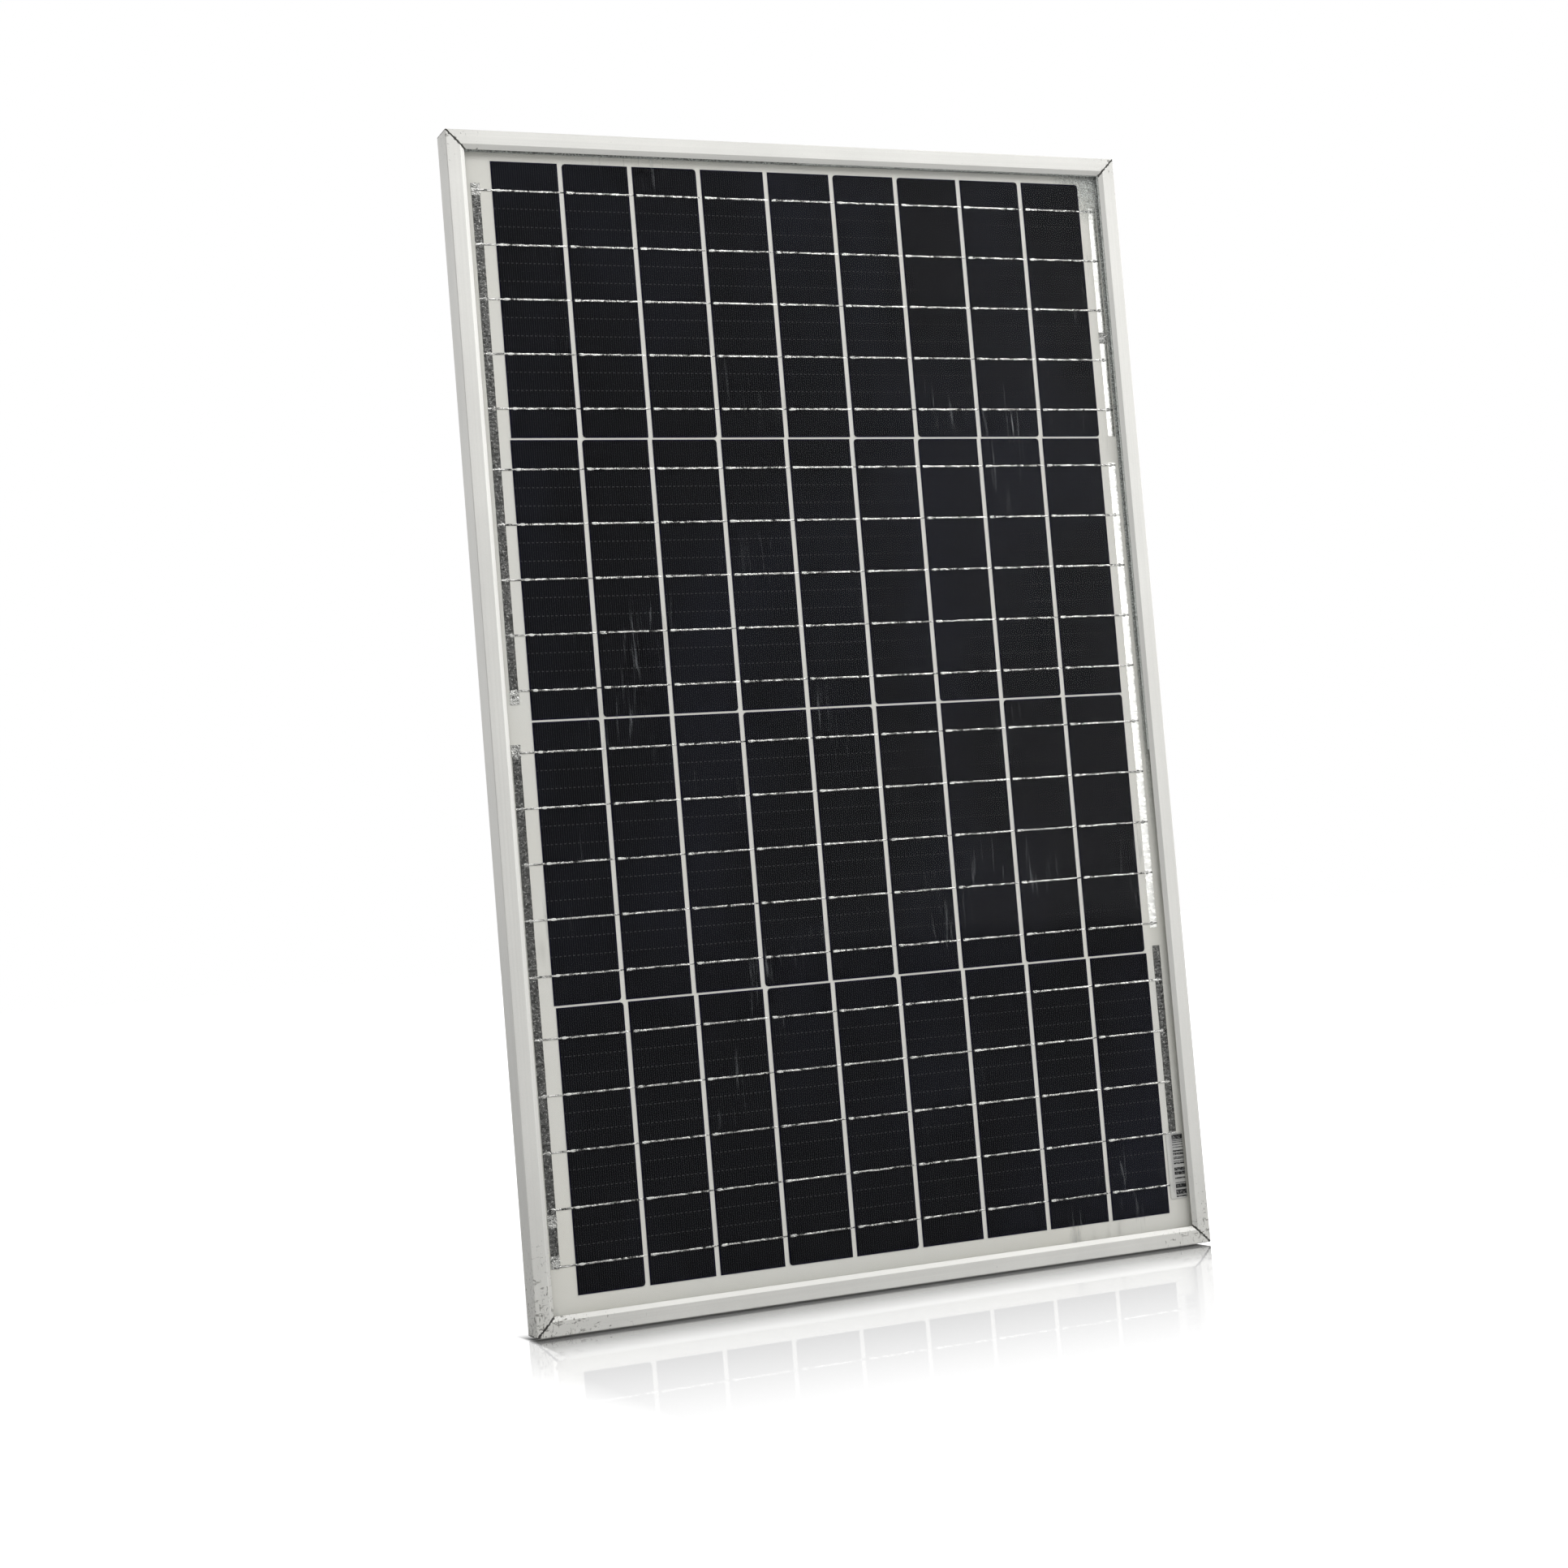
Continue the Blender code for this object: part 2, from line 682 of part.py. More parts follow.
def box_base():
    """The tray glued to the backsheet, with hinge lugs, latch catches and pedestals for the terminals."""
    top = BOX_Z + BOX_SIZE[1] / 2
    bottom = BOX_Z - BOX_SIZE[1] / 2
    shape = bmesh.new()
    loft(
        shape,
        [
            at_depth(box_outline(0), BOX_BACK),
            at_depth(box_outline(0), BOX_RIM),
            at_depth(box_outline(BOX_WALL), BOX_RIM),
            at_depth(box_outline(BOX_WALL), BOX_FLOOR),
        ],
    )
    base = build_object("junction_box_base", shape, black_plastic())
    added = bmesh.new()
    lug_depths = (BOX_RIM - LUG_LENGTH, BOX_RIM - MESH_MARGIN)
    lug_heights = (top - BOX_WALL / 2, HINGE_Z + LUG_RISE)
    for side in (-1, 1):
        knuckle = BOX_X + side * KNUCKLE_X
        for lug in (-1, 1):
            near = knuckle + lug * (KNUCKLE_LENGTH / 2 + LUG_GAP)
            add_barrel(added, (near, near + lug * LUG_LENGTH), lug_depths, lug_heights)
        tongue = BOX_X + side * TONGUE_X
        catch_low = point(tongue - CATCH_WIDTH / 2, CATCH_DEPTHS[0], bottom - CATCH_PROUD)
        catch_high = point(tongue + CATCH_WIDTH / 2, CATCH_DEPTHS[1], bottom + BOX_WALL / 2)
        add_box(added, catch_low, catch_high)
        terminal = BOX_X + side * TERMINAL_X
        half = TERMINAL_SIZE[0] / 2 + PEDESTAL_MARGIN
        heights = (BOX_Z - TERMINAL_SIZE[1] / 2 - PEDESTAL_MARGIN, BOX_Z + TERMINAL_SIZE[1] / 2)
        pedestal = (BOX_FLOOR - BOX_WALL / 4, PEDESTAL_REAR - BOX_FLOOR + BOX_WALL / 4)
        add_plate(added, (terminal - half, terminal + half), heights, pedestal)
    combine(base, "UNION", added)
    combine(base, "DIFFERENCE", hinge_bores())
    holes = bmesh.new()
    slot_x, slot_z = LEAD_SLOT
    for side in (-1, 1):
        outlet = point(BOX_X + side * GROMMET_X, GROMMET_DEPTH, bottom)
        ends = (-CUT_OVERRUN, BOX_WALL + CUT_OVERRUN)
        lathe(holes, [(end, GROMMET_HOLE) for end in ends], outlet, "Z")
        x = BOX_X + side * TERMINAL_X
        z = BOX_Z + LEAD_HEIGHT
        cut = (BOX_BACK - CUT_OVERRUN, BOX_FLOOR - BOX_BACK + 2 * CUT_OVERRUN)
        add_plate(holes, (x - slot_x / 2, x + slot_x / 2), (z - slot_z / 2, z + slot_z / 2), cut)
        for height in SCREW_HEIGHTS:
            mouth = point(x, 0, BOX_Z + height)
            ends = (SCREW_HOLE_END, PEDESTAL_REAR + CUT_OVERRUN)
            lathe(holes, [(end, SCREW_HOLE_RADIUS) for end in ends], mouth, "Y", sides=SCREW_SIDES)
    combine(base, "DIFFERENCE", holes)
    shade_round(base)


def box_lid():
    """The hinged lid: a chamfered plate, a rib that locates it inside the walls, and two snap tongues."""
    rib_outer = BOX_WALL + LID_RIB_GAP
    rib_inner = rib_outer + LID_RIB
    rib_front = LID_UNDER - LID_RIB_DEPTH
    shape = bmesh.new()
    loft(
        shape,
        [
            at_depth(box_outline(LID_CHAMFER), LID_OUTER),
            at_depth(box_outline(0), LID_OUTER - LID_CHAMFER),
            at_depth(box_outline(0), LID_UNDER),
            at_depth(box_outline(rib_outer), LID_UNDER),
            at_depth(box_outline(rib_outer), rib_front),
            at_depth(box_outline(rib_inner), rib_front),
            at_depth(box_outline(rib_inner), LID_UNDER),
        ],
    )
    hinge = point(BOX_X, LID_UNDER, HINGE_Z)
    lid = build_object("junction_box_lid", shape, black_plastic(), hinge)
    top = BOX_Z + BOX_SIZE[1] / 2
    bottom = BOX_Z - BOX_SIZE[1] / 2
    added = bmesh.new()
    windows = bmesh.new()
    arm_depths = (LID_UNDER + MESH_MARGIN, LID_UNDER + BARREL_RADIUS - MESH_MARGIN)
    for side in (-1, 1):
        knuckle = BOX_X + side * KNUCKLE_X
        ends = (knuckle - KNUCKLE_LENGTH / 2, knuckle + KNUCKLE_LENGTH / 2)
        add_barrel(added, ends, arm_depths, (top - BOX_WALL / 2, HINGE_Z))
        tongue = BOX_X + side * TONGUE_X
        outer = bottom - TONGUE_GAP - TONGUE_THICKNESS
        low = point(tongue - TONGUE_WIDTH / 2, TONGUE_FRONT, outer)
        high = point(tongue + TONGUE_WIDTH / 2, LID_OUTER - LID_CHAMFER, bottom - TONGUE_GAP)
        add_box(added, low, high)
        low = point(tongue - TONGUE_WIDTH / 2, LID_UNDER + MESH_MARGIN, outer)
        high = point(tongue + TONGUE_WIDTH / 2, LID_OUTER - LID_CHAMFER, bottom + BOX_WALL / 2)
        add_box(added, low, high)
        low = point(tongue - WINDOW_WIDTH / 2, WINDOW_DEPTHS[0], outer - CUT_OVERRUN)
        high = point(tongue + WINDOW_WIDTH / 2, WINDOW_DEPTHS[1], bottom - CATCH_PROUD / 2)
        add_box(windows, low, high)
    combine(lid, "UNION", added)
    combine(lid, "DIFFERENCE", hinge_bores())
    combine(lid, "DIFFERENCE", windows)
    shade_round(lid)


def box_trim():
    """The gasket on the box's rim, the adhesive pad under the box and the hinge pin."""
    front, thickness = GASKET
    shape = bmesh.new()
    loft(
        shape,
        [
            at_depth(box_outline(GASKET_INSET), front),
            at_depth(box_outline(GASKET_INSET), front + thickness),
            at_depth(box_outline(BOX_WALL - GASKET_INSET), front + thickness),
            at_depth(box_outline(BOX_WALL - GASKET_INSET), front),
        ],
        closed=True,
    )
    build_object("junction_box_gasket", shape, black_rubber())
    front, thickness = PAD
    window = rounded_rectangle(*PAD_WINDOW, SMALL_RADIUS, (BOX_X, BOX_Z + LEAD_HEIGHT))
    shape = bmesh.new()
    loft(
        shape,
        [
            at_depth(box_outline(PAD_INSET), front),
            at_depth(box_outline(PAD_INSET), front + thickness),
            at_depth(window, front + thickness),
            at_depth(window, front),
        ],
        closed=True,
    )
    build_object("junction_box_pad", shape, foam())
    middle = point(BOX_X, LID_UNDER, HINGE_Z)
    reach = KNUCKLE_X + KNUCKLE_LENGTH / 2 + LUG_GAP + LUG_LENGTH
    head = reach + PIN_HEAD_GAP
    head_length, head_radius = PIN_HEAD
    tip_length, tip_radius = PIN_TIP
    profile = [
        (-reach - tip_length, tip_radius),
        (-reach, PIN_RADIUS),
        (head, PIN_RADIUS),
        (head, head_radius),
        (head + head_length, head_radius),
    ]
    shape = bmesh.new()
    lathe(shape, profile, middle, "X")
    shade_round(build_object("lid_hinge_pin", shape, steel()))


def cable_grommet(name, side):
    """The rubber grommet in the box's lower wall that a cable passes through."""
    nose, nose_radius, flange_radius = GROMMET_NOSE
    lip, lip_radius, catch_radius = GROMMET_LIP
    neck = GROMMET_HOLE - MESH_MARGIN
    inside = BOX_WALL + MESH_MARGIN
    profile = [
        (-nose, GROMMET_BORE),
        (-nose, nose_radius),
        (-MESH_MARGIN, flange_radius),
        (-MESH_MARGIN, neck),
        (inside, neck),
        (inside, catch_radius),
        (BOX_WALL + lip, lip_radius),
        (BOX_WALL + lip, GROMMET_BORE),
    ]
    shape = bmesh.new()
    centre = point(BOX_X + side * GROMMET_X, GROMMET_DEPTH, BOX_Z - BOX_SIZE[1] / 2)
    lathe(shape, profile, centre, "Z", hollow=True)
    shade_round(build_object(name, shape, black_rubber()))


def terminal_strip(name, side):
    """A brass strip on its pedestal, which joins a lead ribbon, the diode and a cable."""
    x = BOX_X + side * TERMINAL_X
    shape = bmesh.new()
    outline = rounded_rectangle(*TERMINAL_SIZE, SMALL_RADIUS, (x, BOX_Z), 3)
    add_prism(shape, outline, TERMINAL)
    strip = build_object(name, shape, brass())
    holes = bmesh.new()
    for height in SCREW_HEIGHTS:
        mouth = point(x, 0, BOX_Z + height)
        ends = (TERMINAL[0] - CUT_OVERRUN, TAB[0] + CUT_OVERRUN)
        lathe(holes, [(end, SCREW_HOLE_RADIUS) for end in ends], mouth, "Y", sides=SCREW_SIDES)
    combine(strip, "DIFFERENCE", holes)


def terminal_screw(number, side, height):
    """A cross-head screw, whose own origin is on its axis."""
    head, head_height = SCREW_HEAD
    axis = point(BOX_X + side * TERMINAL_X, head, BOX_Z + height)
    profile = [
        (SCREW_TIP - head, SCREW_SHANK_RADIUS - SCREW_TIP_TAPER),
        (SCREW_TIP - head + SCREW_TIP_TAPER, SCREW_SHANK_RADIUS),
        (0, SCREW_SHANK_RADIUS),
        (0, SCREW_HEAD_RADIUS),
        (head_height - SCREW_HEAD_ROUND, SCREW_HEAD_RADIUS),
        (head_height, SCREW_HEAD_RADIUS - SCREW_HEAD_ROUND),
    ]
    shape = bmesh.new()
    lathe(shape, profile, axis, "Y", sides=SCREW_SIDES)
    screw = build_object(f"terminal_screw_{number}", shape, steel(), axis)
    slots = bmesh.new()
    length, width, depth = DRIVE_SLOT
    for across, up in ((length, width), (width, length)):
        low = axis + Vector((-across / 2, head_height - depth, -up / 2))
        high = axis + Vector((across / 2, head_height + depth, up / 2))
        add_box(slots, low, high)
    combine(screw, "DIFFERENCE", slots)
    shade_round(screw)


def bypass_diode():
    """The axial diode across the two terminals, body and straight leads turned as one."""
    reach, lead_radius = DIODE_LEAD
    end, radius = DIODE_BODY
    edge_length, edge_depth = DIODE_EDGE
    half = [
        (reach, lead_radius),
        (end, lead_radius),
        (end, radius - edge_depth),
        (end - edge_length, radius),
    ]
    profile = [(-along, out) for along, out in half] + list(reversed(half))
    shape = bmesh.new()
    lathe(shape, profile, point(BOX_X, DIODE_DEPTH, BOX_Z + DIODE_HEIGHT), "X", sides=SCREW_SIDES)
    shade_round(build_object("bypass_diode", shape, diode_resin()))


def make_frame():
    for side in ("left", "right", "top", "bottom"):
        frame_rail(side)
    for number, (right, top) in enumerate(((0, 0), (1, 0), (1, 1), (0, 1)), start=1):
        corner_key(number, right, top)
    edge_seal()


def make_laminate():
    lead_z = BOX_Z + LEAD_HEIGHT
    half_bus = BUS_WIDTH / 2
    folds = [
        (array_x(LEAD_BUS_UPPER[0] + half_bus), array_z(LEAD_TURN_UPPER)),
        (array_x(LEAD_BUS_LOWER[0] + half_bus), array_z(LEAD_TURN_LOWER)),
    ]
    into_box = [(BOX_X + TERMINAL_X, lead_z), (BOX_X - TERMINAL_X, lead_z)]
    laminate_sheet("cover_glass", GLASS, glass())
    laminate_sheet("front_encapsulant", FRONT_ENCAPSULANT, clear_film())
    rear = laminate_sheet("rear_encapsulant", REAR_ENCAPSULANT, white_film())
    combine(rear, "DIFFERENCE", slots_for_leads(folds, REAR_ENCAPSULANT, across=False))
    sheet = laminate_sheet("backsheet", BACKSHEET, white_sheet())
    combine(sheet, "DIFFERENCE", slots_for_leads(into_box, BACKSHEET, across=True))
    ends = [
        (BUS_LEFT_UPPER[0], LEAD_BUS_UPPER[0]),
        (BUS_LEFT_UPPER[0], BUS_RIGHT[0]),
        (BUS_LEFT_LOWER[0], BUS_RIGHT[0]),
        (BUS_LEFT_LOWER[0], LEAD_BUS_LOWER[0]),
    ]
    for string in range(STRINGS):
        cell_string(string, *ends[string])
    bus_ribbon("bus_ribbon_left_upper", BUS_LEFT_UPPER)
    bus_ribbon("bus_ribbon_left_lower", BUS_LEFT_LOWER)
    bus_ribbon("bus_ribbon_right", BUS_RIGHT)
    lead_ribbon("lead_ribbon_upper", LEAD_BUS_UPPER, LEAD_TURN_UPPER, TERMINAL_X)
    lead_ribbon("lead_ribbon_lower", LEAD_BUS_LOWER, LEAD_TURN_LOWER, -TERMINAL_X)
    labels()


def make_junction_box():
    box_base()
    box_lid()
    box_trim()
    number = 1
    for side, which in ((1, "upper"), (-1, "lower")):
        cable_grommet(f"cable_grommet_{which}", side)
        terminal_strip(f"terminal_strip_{which}", side)
        for height in SCREW_HEIGHTS:
            terminal_screw(number, side, height)
            number += 1
    bypass_diode()


clear_scene()
make_frame()
make_laminate()
make_junction_box()
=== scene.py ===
"""A framed solar panel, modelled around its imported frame: X runs across it, Z up, and the glass faces -Y.

Lengths are in metres. Every finished piece keeps its place in its mesh, with its object at the origin.
"""

import json
import math
from functools import partial

import bpy
from mathutils import Matrix, Vector


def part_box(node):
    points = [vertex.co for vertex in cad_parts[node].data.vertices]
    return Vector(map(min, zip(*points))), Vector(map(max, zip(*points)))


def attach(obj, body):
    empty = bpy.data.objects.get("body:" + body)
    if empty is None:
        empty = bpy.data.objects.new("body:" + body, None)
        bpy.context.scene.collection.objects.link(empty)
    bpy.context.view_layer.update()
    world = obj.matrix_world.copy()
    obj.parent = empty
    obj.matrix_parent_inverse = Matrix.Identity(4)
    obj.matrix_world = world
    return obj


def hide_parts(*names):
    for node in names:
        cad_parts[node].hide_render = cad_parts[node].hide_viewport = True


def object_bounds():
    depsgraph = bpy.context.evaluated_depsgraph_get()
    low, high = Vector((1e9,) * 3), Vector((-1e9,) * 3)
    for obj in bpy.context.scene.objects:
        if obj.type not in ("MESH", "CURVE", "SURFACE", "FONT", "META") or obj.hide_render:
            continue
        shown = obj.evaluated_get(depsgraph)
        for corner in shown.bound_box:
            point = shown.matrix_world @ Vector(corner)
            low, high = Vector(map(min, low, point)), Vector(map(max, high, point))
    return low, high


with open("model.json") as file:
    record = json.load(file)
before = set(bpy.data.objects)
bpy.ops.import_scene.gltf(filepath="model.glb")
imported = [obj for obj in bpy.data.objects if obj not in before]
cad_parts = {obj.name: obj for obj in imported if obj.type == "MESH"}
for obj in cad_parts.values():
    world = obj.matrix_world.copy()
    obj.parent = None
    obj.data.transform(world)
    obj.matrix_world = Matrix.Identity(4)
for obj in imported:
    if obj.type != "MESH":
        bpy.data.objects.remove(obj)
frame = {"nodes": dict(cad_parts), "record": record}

bl_info = {
    "name": "Framed Solar Panel",
    "version": (1, 0, 0),
    "blender": (4, 5, 0),
    "location": "View3D > Sidebar > Solar Panel",
    "description": "Models and finishes a framed solar panel around its packed frame",
    "category": "Object",
}

# The frame's own facts
LOW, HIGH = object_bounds()
NODES = frame["nodes"]
RECORD = frame["record"]
BODIES = {node: body for body, members in RECORD["behaviour"]["bodies"].items() for node in members}

# Cell array
STRINGS = 4
COLUMNS = 9
RIBBONS = 5
CELL_HEIGHT = 0.15875
CELL_THICKNESS = 0.0002
STRING_SHIFTS = (0.0007, 0.0, 0.0, 0.0010)
# The side of each cell that was the wafer's edge, and so has its two cut corners
CUT_SIDES = ("-LR--LLRR", "-LR--LLR-", "R--LR--LR", "R--LR----")
EDGE_SLOPE = 0.00002

# Ribbons, bus ribbons and solder
RIBBON_PITCH = 0.0313
RIBBON_THICKNESS = 0.00008
RIBBON_STEP = 0.0007
RIBBON_START = 0.0017
RIBBON_TUCK = 0.0020
RIBBON_CROWN = 0.00005
SOLDERED_START = 0.0040
DIP_STEPS = 4
BUS_WIDTH = 0.0050
BUS_THICKNESS = 0.00015
LOWER_LEAD_BUS = 0.1504
JOINT_SIZE = (0.0030, 0.0004, 0.0022)
JOINT_DRAW = (1.3, 0.8, 0.45)
PAD_SIZE = (0.0038, 0.0002, 0.0015)
HAMMERED_SIZE = (0.0054, 0.0070)
# Two more hammered squares: above the last left one, and below the upper lead's top
HAMMERED_RISE = 0.0225
HAMMERED_DROP = 0.0820

# Where each string's ribbons end: its left bus ribbon, then its right one
STRING_ENDS = (
    ("bus_ribbon_left_upper", "lead_ribbon_upper"),
    ("bus_ribbon_left_upper", "bus_ribbon_right"),
    ("bus_ribbon_left_lower", "bus_ribbon_right"),
    ("bus_ribbon_left_lower", "lead_ribbon_lower"),
)
BUSES = (
    "bus_ribbon_left_upper",
    "bus_ribbon_left_lower",
    "bus_ribbon_right",
    "lead_ribbon_upper",
    "lead_ribbon_lower",
)
# The two buses that wear the painted highlight copy of the bus finish.
PAINTED_LIT_BUSES = ("lead_ribbon_upper", "bus_ribbon_right")

# Frame and edge
LIP_REACH = 0.0108
BEAD_WIDTH = 0.0022
BEAD_RISE = 0.0005
BEAD_START = 0.45
CELLS_TO_LIP = 0.0130

# Length of one face along a bead or a bus ribbon
HAND_STEP = 0.0009

# How far hand work moves the points of each kind of piece
RIBBON_WOBBLE = 0.00005
BUS_WOBBLE = 0.00005
PAD_WOBBLE = 0.00006
JOINT_WOBBLE = 0.00008
HAMMERED_WOBBLE = 0.00012
BEAD_WOBBLE = 0.00028

# Widths of rounded edges
RAIL_ROUNDING = 0.00018
BRACKET_ROUNDING = 0.00015
FOLD_ROUNDING = 0.00003

MERGE_DISTANCE = 0.00001
FLAT_ANGLE = math.radians(0.4)
ROUNDED_ANGLE = math.radians(18)
SMOOTH_ANGLE = math.radians(60)

# Stage: each softbox's azimuth, elevation, distance and size, and the camera's place and axes
FLOOR_GAP = 0.0013
SOFTBOXES = {
    "key_softbox": (62, 18, 2.2, (0.8, 1.5)),
    "top_softbox": (-6, 38, 3.4, (3.0, 1.4)),
}
CAMERA_PLACE = (-0.6181, -1.3716, 0.2158)
CAMERA_RIGHT = (0.91976, -0.38377, -0.08227)
CAMERA_UP = (0.05507, -0.08135, 0.99516)
CAMERA_BACK = (-0.38861, -0.91984, -0.05368)
CAMERA_LENS = 58.82


# Blender helpers


def activate(obj):
    """Makes this the only selected object, and the active one."""
    bpy.ops.object.select_all(action="DESELECT")
    obj.select_set(True)
    bpy.context.view_layer.objects.active = obj


def edit(obj, kind, chosen):
    """Opens a mesh for editing, with only the chosen vertices, edges or faces selected."""
    activate(obj)
    mesh = obj.data
    lists = {"VERT": mesh.vertices, "EDGE": mesh.edges, "FACE": mesh.polygons}
    bpy.context.tool_settings.mesh_select_mode = [kind == each for each in lists]
    for elements in lists.values():
        elements.foreach_set("select", [False] * len(elements))
    for element in lists[kind]:
        element.select = chosen(element)
    bpy.ops.object.mode_set(mode="EDIT")


def close_edit():
    bpy.ops.object.mode_set(mode="OBJECT")


def everything(_):
    return True


def place_mesh(obj):
    """Moves an object's place, turn and scale into its mesh."""
    activate(obj)
    bpy.ops.object.transform_apply(location=True, rotation=True, scale=True)


def make_outward(obj):
    edit(obj, "FACE", everything)
    bpy.ops.mesh.normals_make_consistent(inside=False)
    close_edit()


def join(name, pieces):
    """Joins several objects into one."""
    activate(pieces[0])
    for piece in pieces:
        piece.select_set(True)
    bpy.ops.object.join()
    joined = bpy.context.object
    joined.name = name
    joined.data.name = name
    return joined


def copy_at(template, name, offset):
    """A copy of a piece with its own mesh, moved by an offset within that mesh."""
    mesh = template.data.copy()
    mesh.transform(Matrix.Translation(offset))
    piece = bpy.data.objects.new(name, mesh)
    bpy.context.scene.collection.objects.link(piece)
    return piece


def smooth(obj):
    activate(obj)
    bpy.ops.object.shade_smooth_by_angle(angle=SMOOTH_ANGLE)


def wear(piece, finish):
    """Gives a piece one finish in place of any that it has."""
    piece.data.materials.clear()
    piece.data.materials.append(FINISHES[finish])


def settle(piece, finish, body="root", replaces=()):
    """Gives a piece its finish, the body that it rides on and the nodes that it stands for."""
    wear(piece, finish)
    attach(piece, body)
    if replaces:
        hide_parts(*replaces)


def panel_strip(name, low, high, across, along):
    """A sheet of faces that faces -Y and fills the rectangle between two corners, at the low corner's y."""
    bpy.ops.object.select_all(action="DESELECT")
    middle = ((low[0] + high[0]) / 2, low[1], (low[2] + high[2]) / 2)
    bpy.ops.mesh.primitive_grid_add(
        x_subdivisions=across, y_subdivisions=along, size=1, location=middle, rotation=(math.pi / 2, 0, 0)
    )
    sheet = bpy.context.object
    sheet.name = name
    sheet.data.name = name
    sheet.scale = (high[0] - low[0], high[2] - low[2], 1)
    place_mesh(sheet)
    return sheet


def thicken(sheet, thickness):
    """Extrudes a sheet back along Y into a closed solid."""
    edit(sheet, "FACE", everything)
    bpy.ops.mesh.extrude_region_move(TRANSFORM_OT_translate={"value": (0, thickness, 0)})
    close_edit()
    make_outward(sheet)


def roughen(obj, amount, seed):
    """Moves every point a little along its normal, as hammered or hand-soldered metal is uneven."""
    edit(obj, "VERT", everything)
    bpy.ops.transform.vertex_random(offset=amount, uniform=0, normal=1, seed=seed)
    close_edit()


def refined_copy(node, name, bevel, segments=2):
    """A copy of a CAD node with its triangles merged into flat faces and its edges rounded."""
    piece = bpy.data.objects.new(name, NODES[node].data.copy())
    piece.data.name = name
    bpy.context.scene.collection.objects.link(piece)
    edit(piece, "VERT", everything)
    bpy.ops.mesh.remove_doubles(threshold=MERGE_DISTANCE)
    bpy.ops.mesh.dissolve_limited(angle_limit=FLAT_ANGLE)
    close_edit()
    activate(piece)
    bpy.ops.object.shade_smooth()
    rounding = piece.modifiers.new("Rounded edges", "BEVEL")
    rounding.width = bevel
    rounding.segments = segments
    rounding.limit_method = "ANGLE"
    rounding.angle_limit = ROUNDED_ANGLE
    bpy.ops.object.modifier_apply(modifier=rounding.name)
    flat = piece.modifiers.new("Flat faces", "WEIGHTED_NORMAL")
    flat.weight = 100
    bpy.ops.object.modifier_apply(modifier=flat.name)
    return piece


# Node helpers


def feed(tree, node, name, value):
    """Sets one of a node's sockets to a value, or links it to the socket that feeds it."""
    if isinstance(value, bpy.types.NodeSocket):
        tree.links.new(value, node.inputs[name])
    else:
        node.inputs[name].default_value = value


def add_node(tree, kind, inputs=None, **settings):
    """Adds a node. Its inputs are values, or the sockets that feed them."""
    node = tree.nodes.new(kind)
    for key, value in settings.items():
        setattr(node, key, value)
    for key, value in (inputs or {}).items():
        feed(tree, node, key, value)
    return node


def calculate(operation, tree, first, second=0.0, clamp=False):
    inputs = {0: first, 1: second}
    return add_node(tree, "ShaderNodeMath", inputs, operation=operation, use_clamp=clamp).outputs[0]


add = partial(calculate, "ADD")
subtract = partial(calculate, "SUBTRACT")
multiply = partial(calculate, "MULTIPLY")
divide = partial(calculate, "DIVIDE")
larger = partial(calculate, "MAXIMUM")
absolute = partial(calculate, "ABSOLUTE")
above = partial(calculate, "GREATER_THAN")
below = partial(calculate, "LESS_THAN")
fraction = partial(calculate, "FRACT")
whole_part = partial(calculate, "FLOOR")
nearest_whole = partial(calculate, "ROUND")
sine = partial(calculate, "SINE")


def rescale(tree, value, old_low, old_high, new_low=0.0, new_high=1.0, smooth_step=False):
    kind = "SMOOTHSTEP" if smooth_step else "LINEAR"
    inputs = {0: value, 1: old_low, 2: old_high, 3: new_low, 4: new_high}
    return add_node(tree, "ShaderNodeMapRange", inputs, interpolation_type=kind).outputs[0]


def blend_value(tree, share, first, second):
    return add_node(tree, "ShaderNodeMix", {0: share, 2: first, 3: second}, data_type="FLOAT").outputs[0]


def blend_colour(tree, share, first, second, mode="MIX"):
    first, second = (
        each if isinstance(each, bpy.types.NodeSocket) else (*each, 1.0) for each in (first, second)
    )
    inputs = {0: share, 6: first, 7: second}
    return add_node(tree, "ShaderNodeMix", inputs, data_type="RGBA", blend_type=mode).outputs[2]


def toned(tree, colour, tone):
    """A colour multiplied by a tone."""
    grey = add_node(tree, "ShaderNodeCombineColor", {0: tone, 1: tone, 2: tone}).outputs[0]
    return blend_colour(tree, 1.0, colour, grey, "MULTIPLY")


def noise(tree, vector, scale, detail=2.0, distortion=0.0):
    inputs = {"Vector": vector, "Scale": scale, "Detail": detail, "Distortion": distortion}
    return add_node(tree, "ShaderNodeTexNoise", inputs).outputs[0]


def stretched(tree, vector, scale):
    return add_node(tree, "ShaderNodeMapping", {"Vector": vector, "Scale": scale}).outputs[0]


def axes_of(tree, vector):
    return add_node(tree, "ShaderNodeSeparateXYZ", {0: vector}).outputs


def bump(tree, shader, height, strength, distance):
    inputs = {"Height": height, "Strength": strength, "Distance": distance}
    feed(tree, shader, "Normal", add_node(tree, "ShaderNodeBump", inputs).outputs[0])


def seen_from_outside(tree, shader, cover):
    """Lets a clear sheet cover what is behind it by this much, and only from its outer side."""
    inside = add_node(tree, "ShaderNodeNewGeometry").outputs["Backfacing"]
    feed(tree, shader, "Alpha", multiply(tree, cover, subtract(tree, 1.0, inside)))


# Shared effects


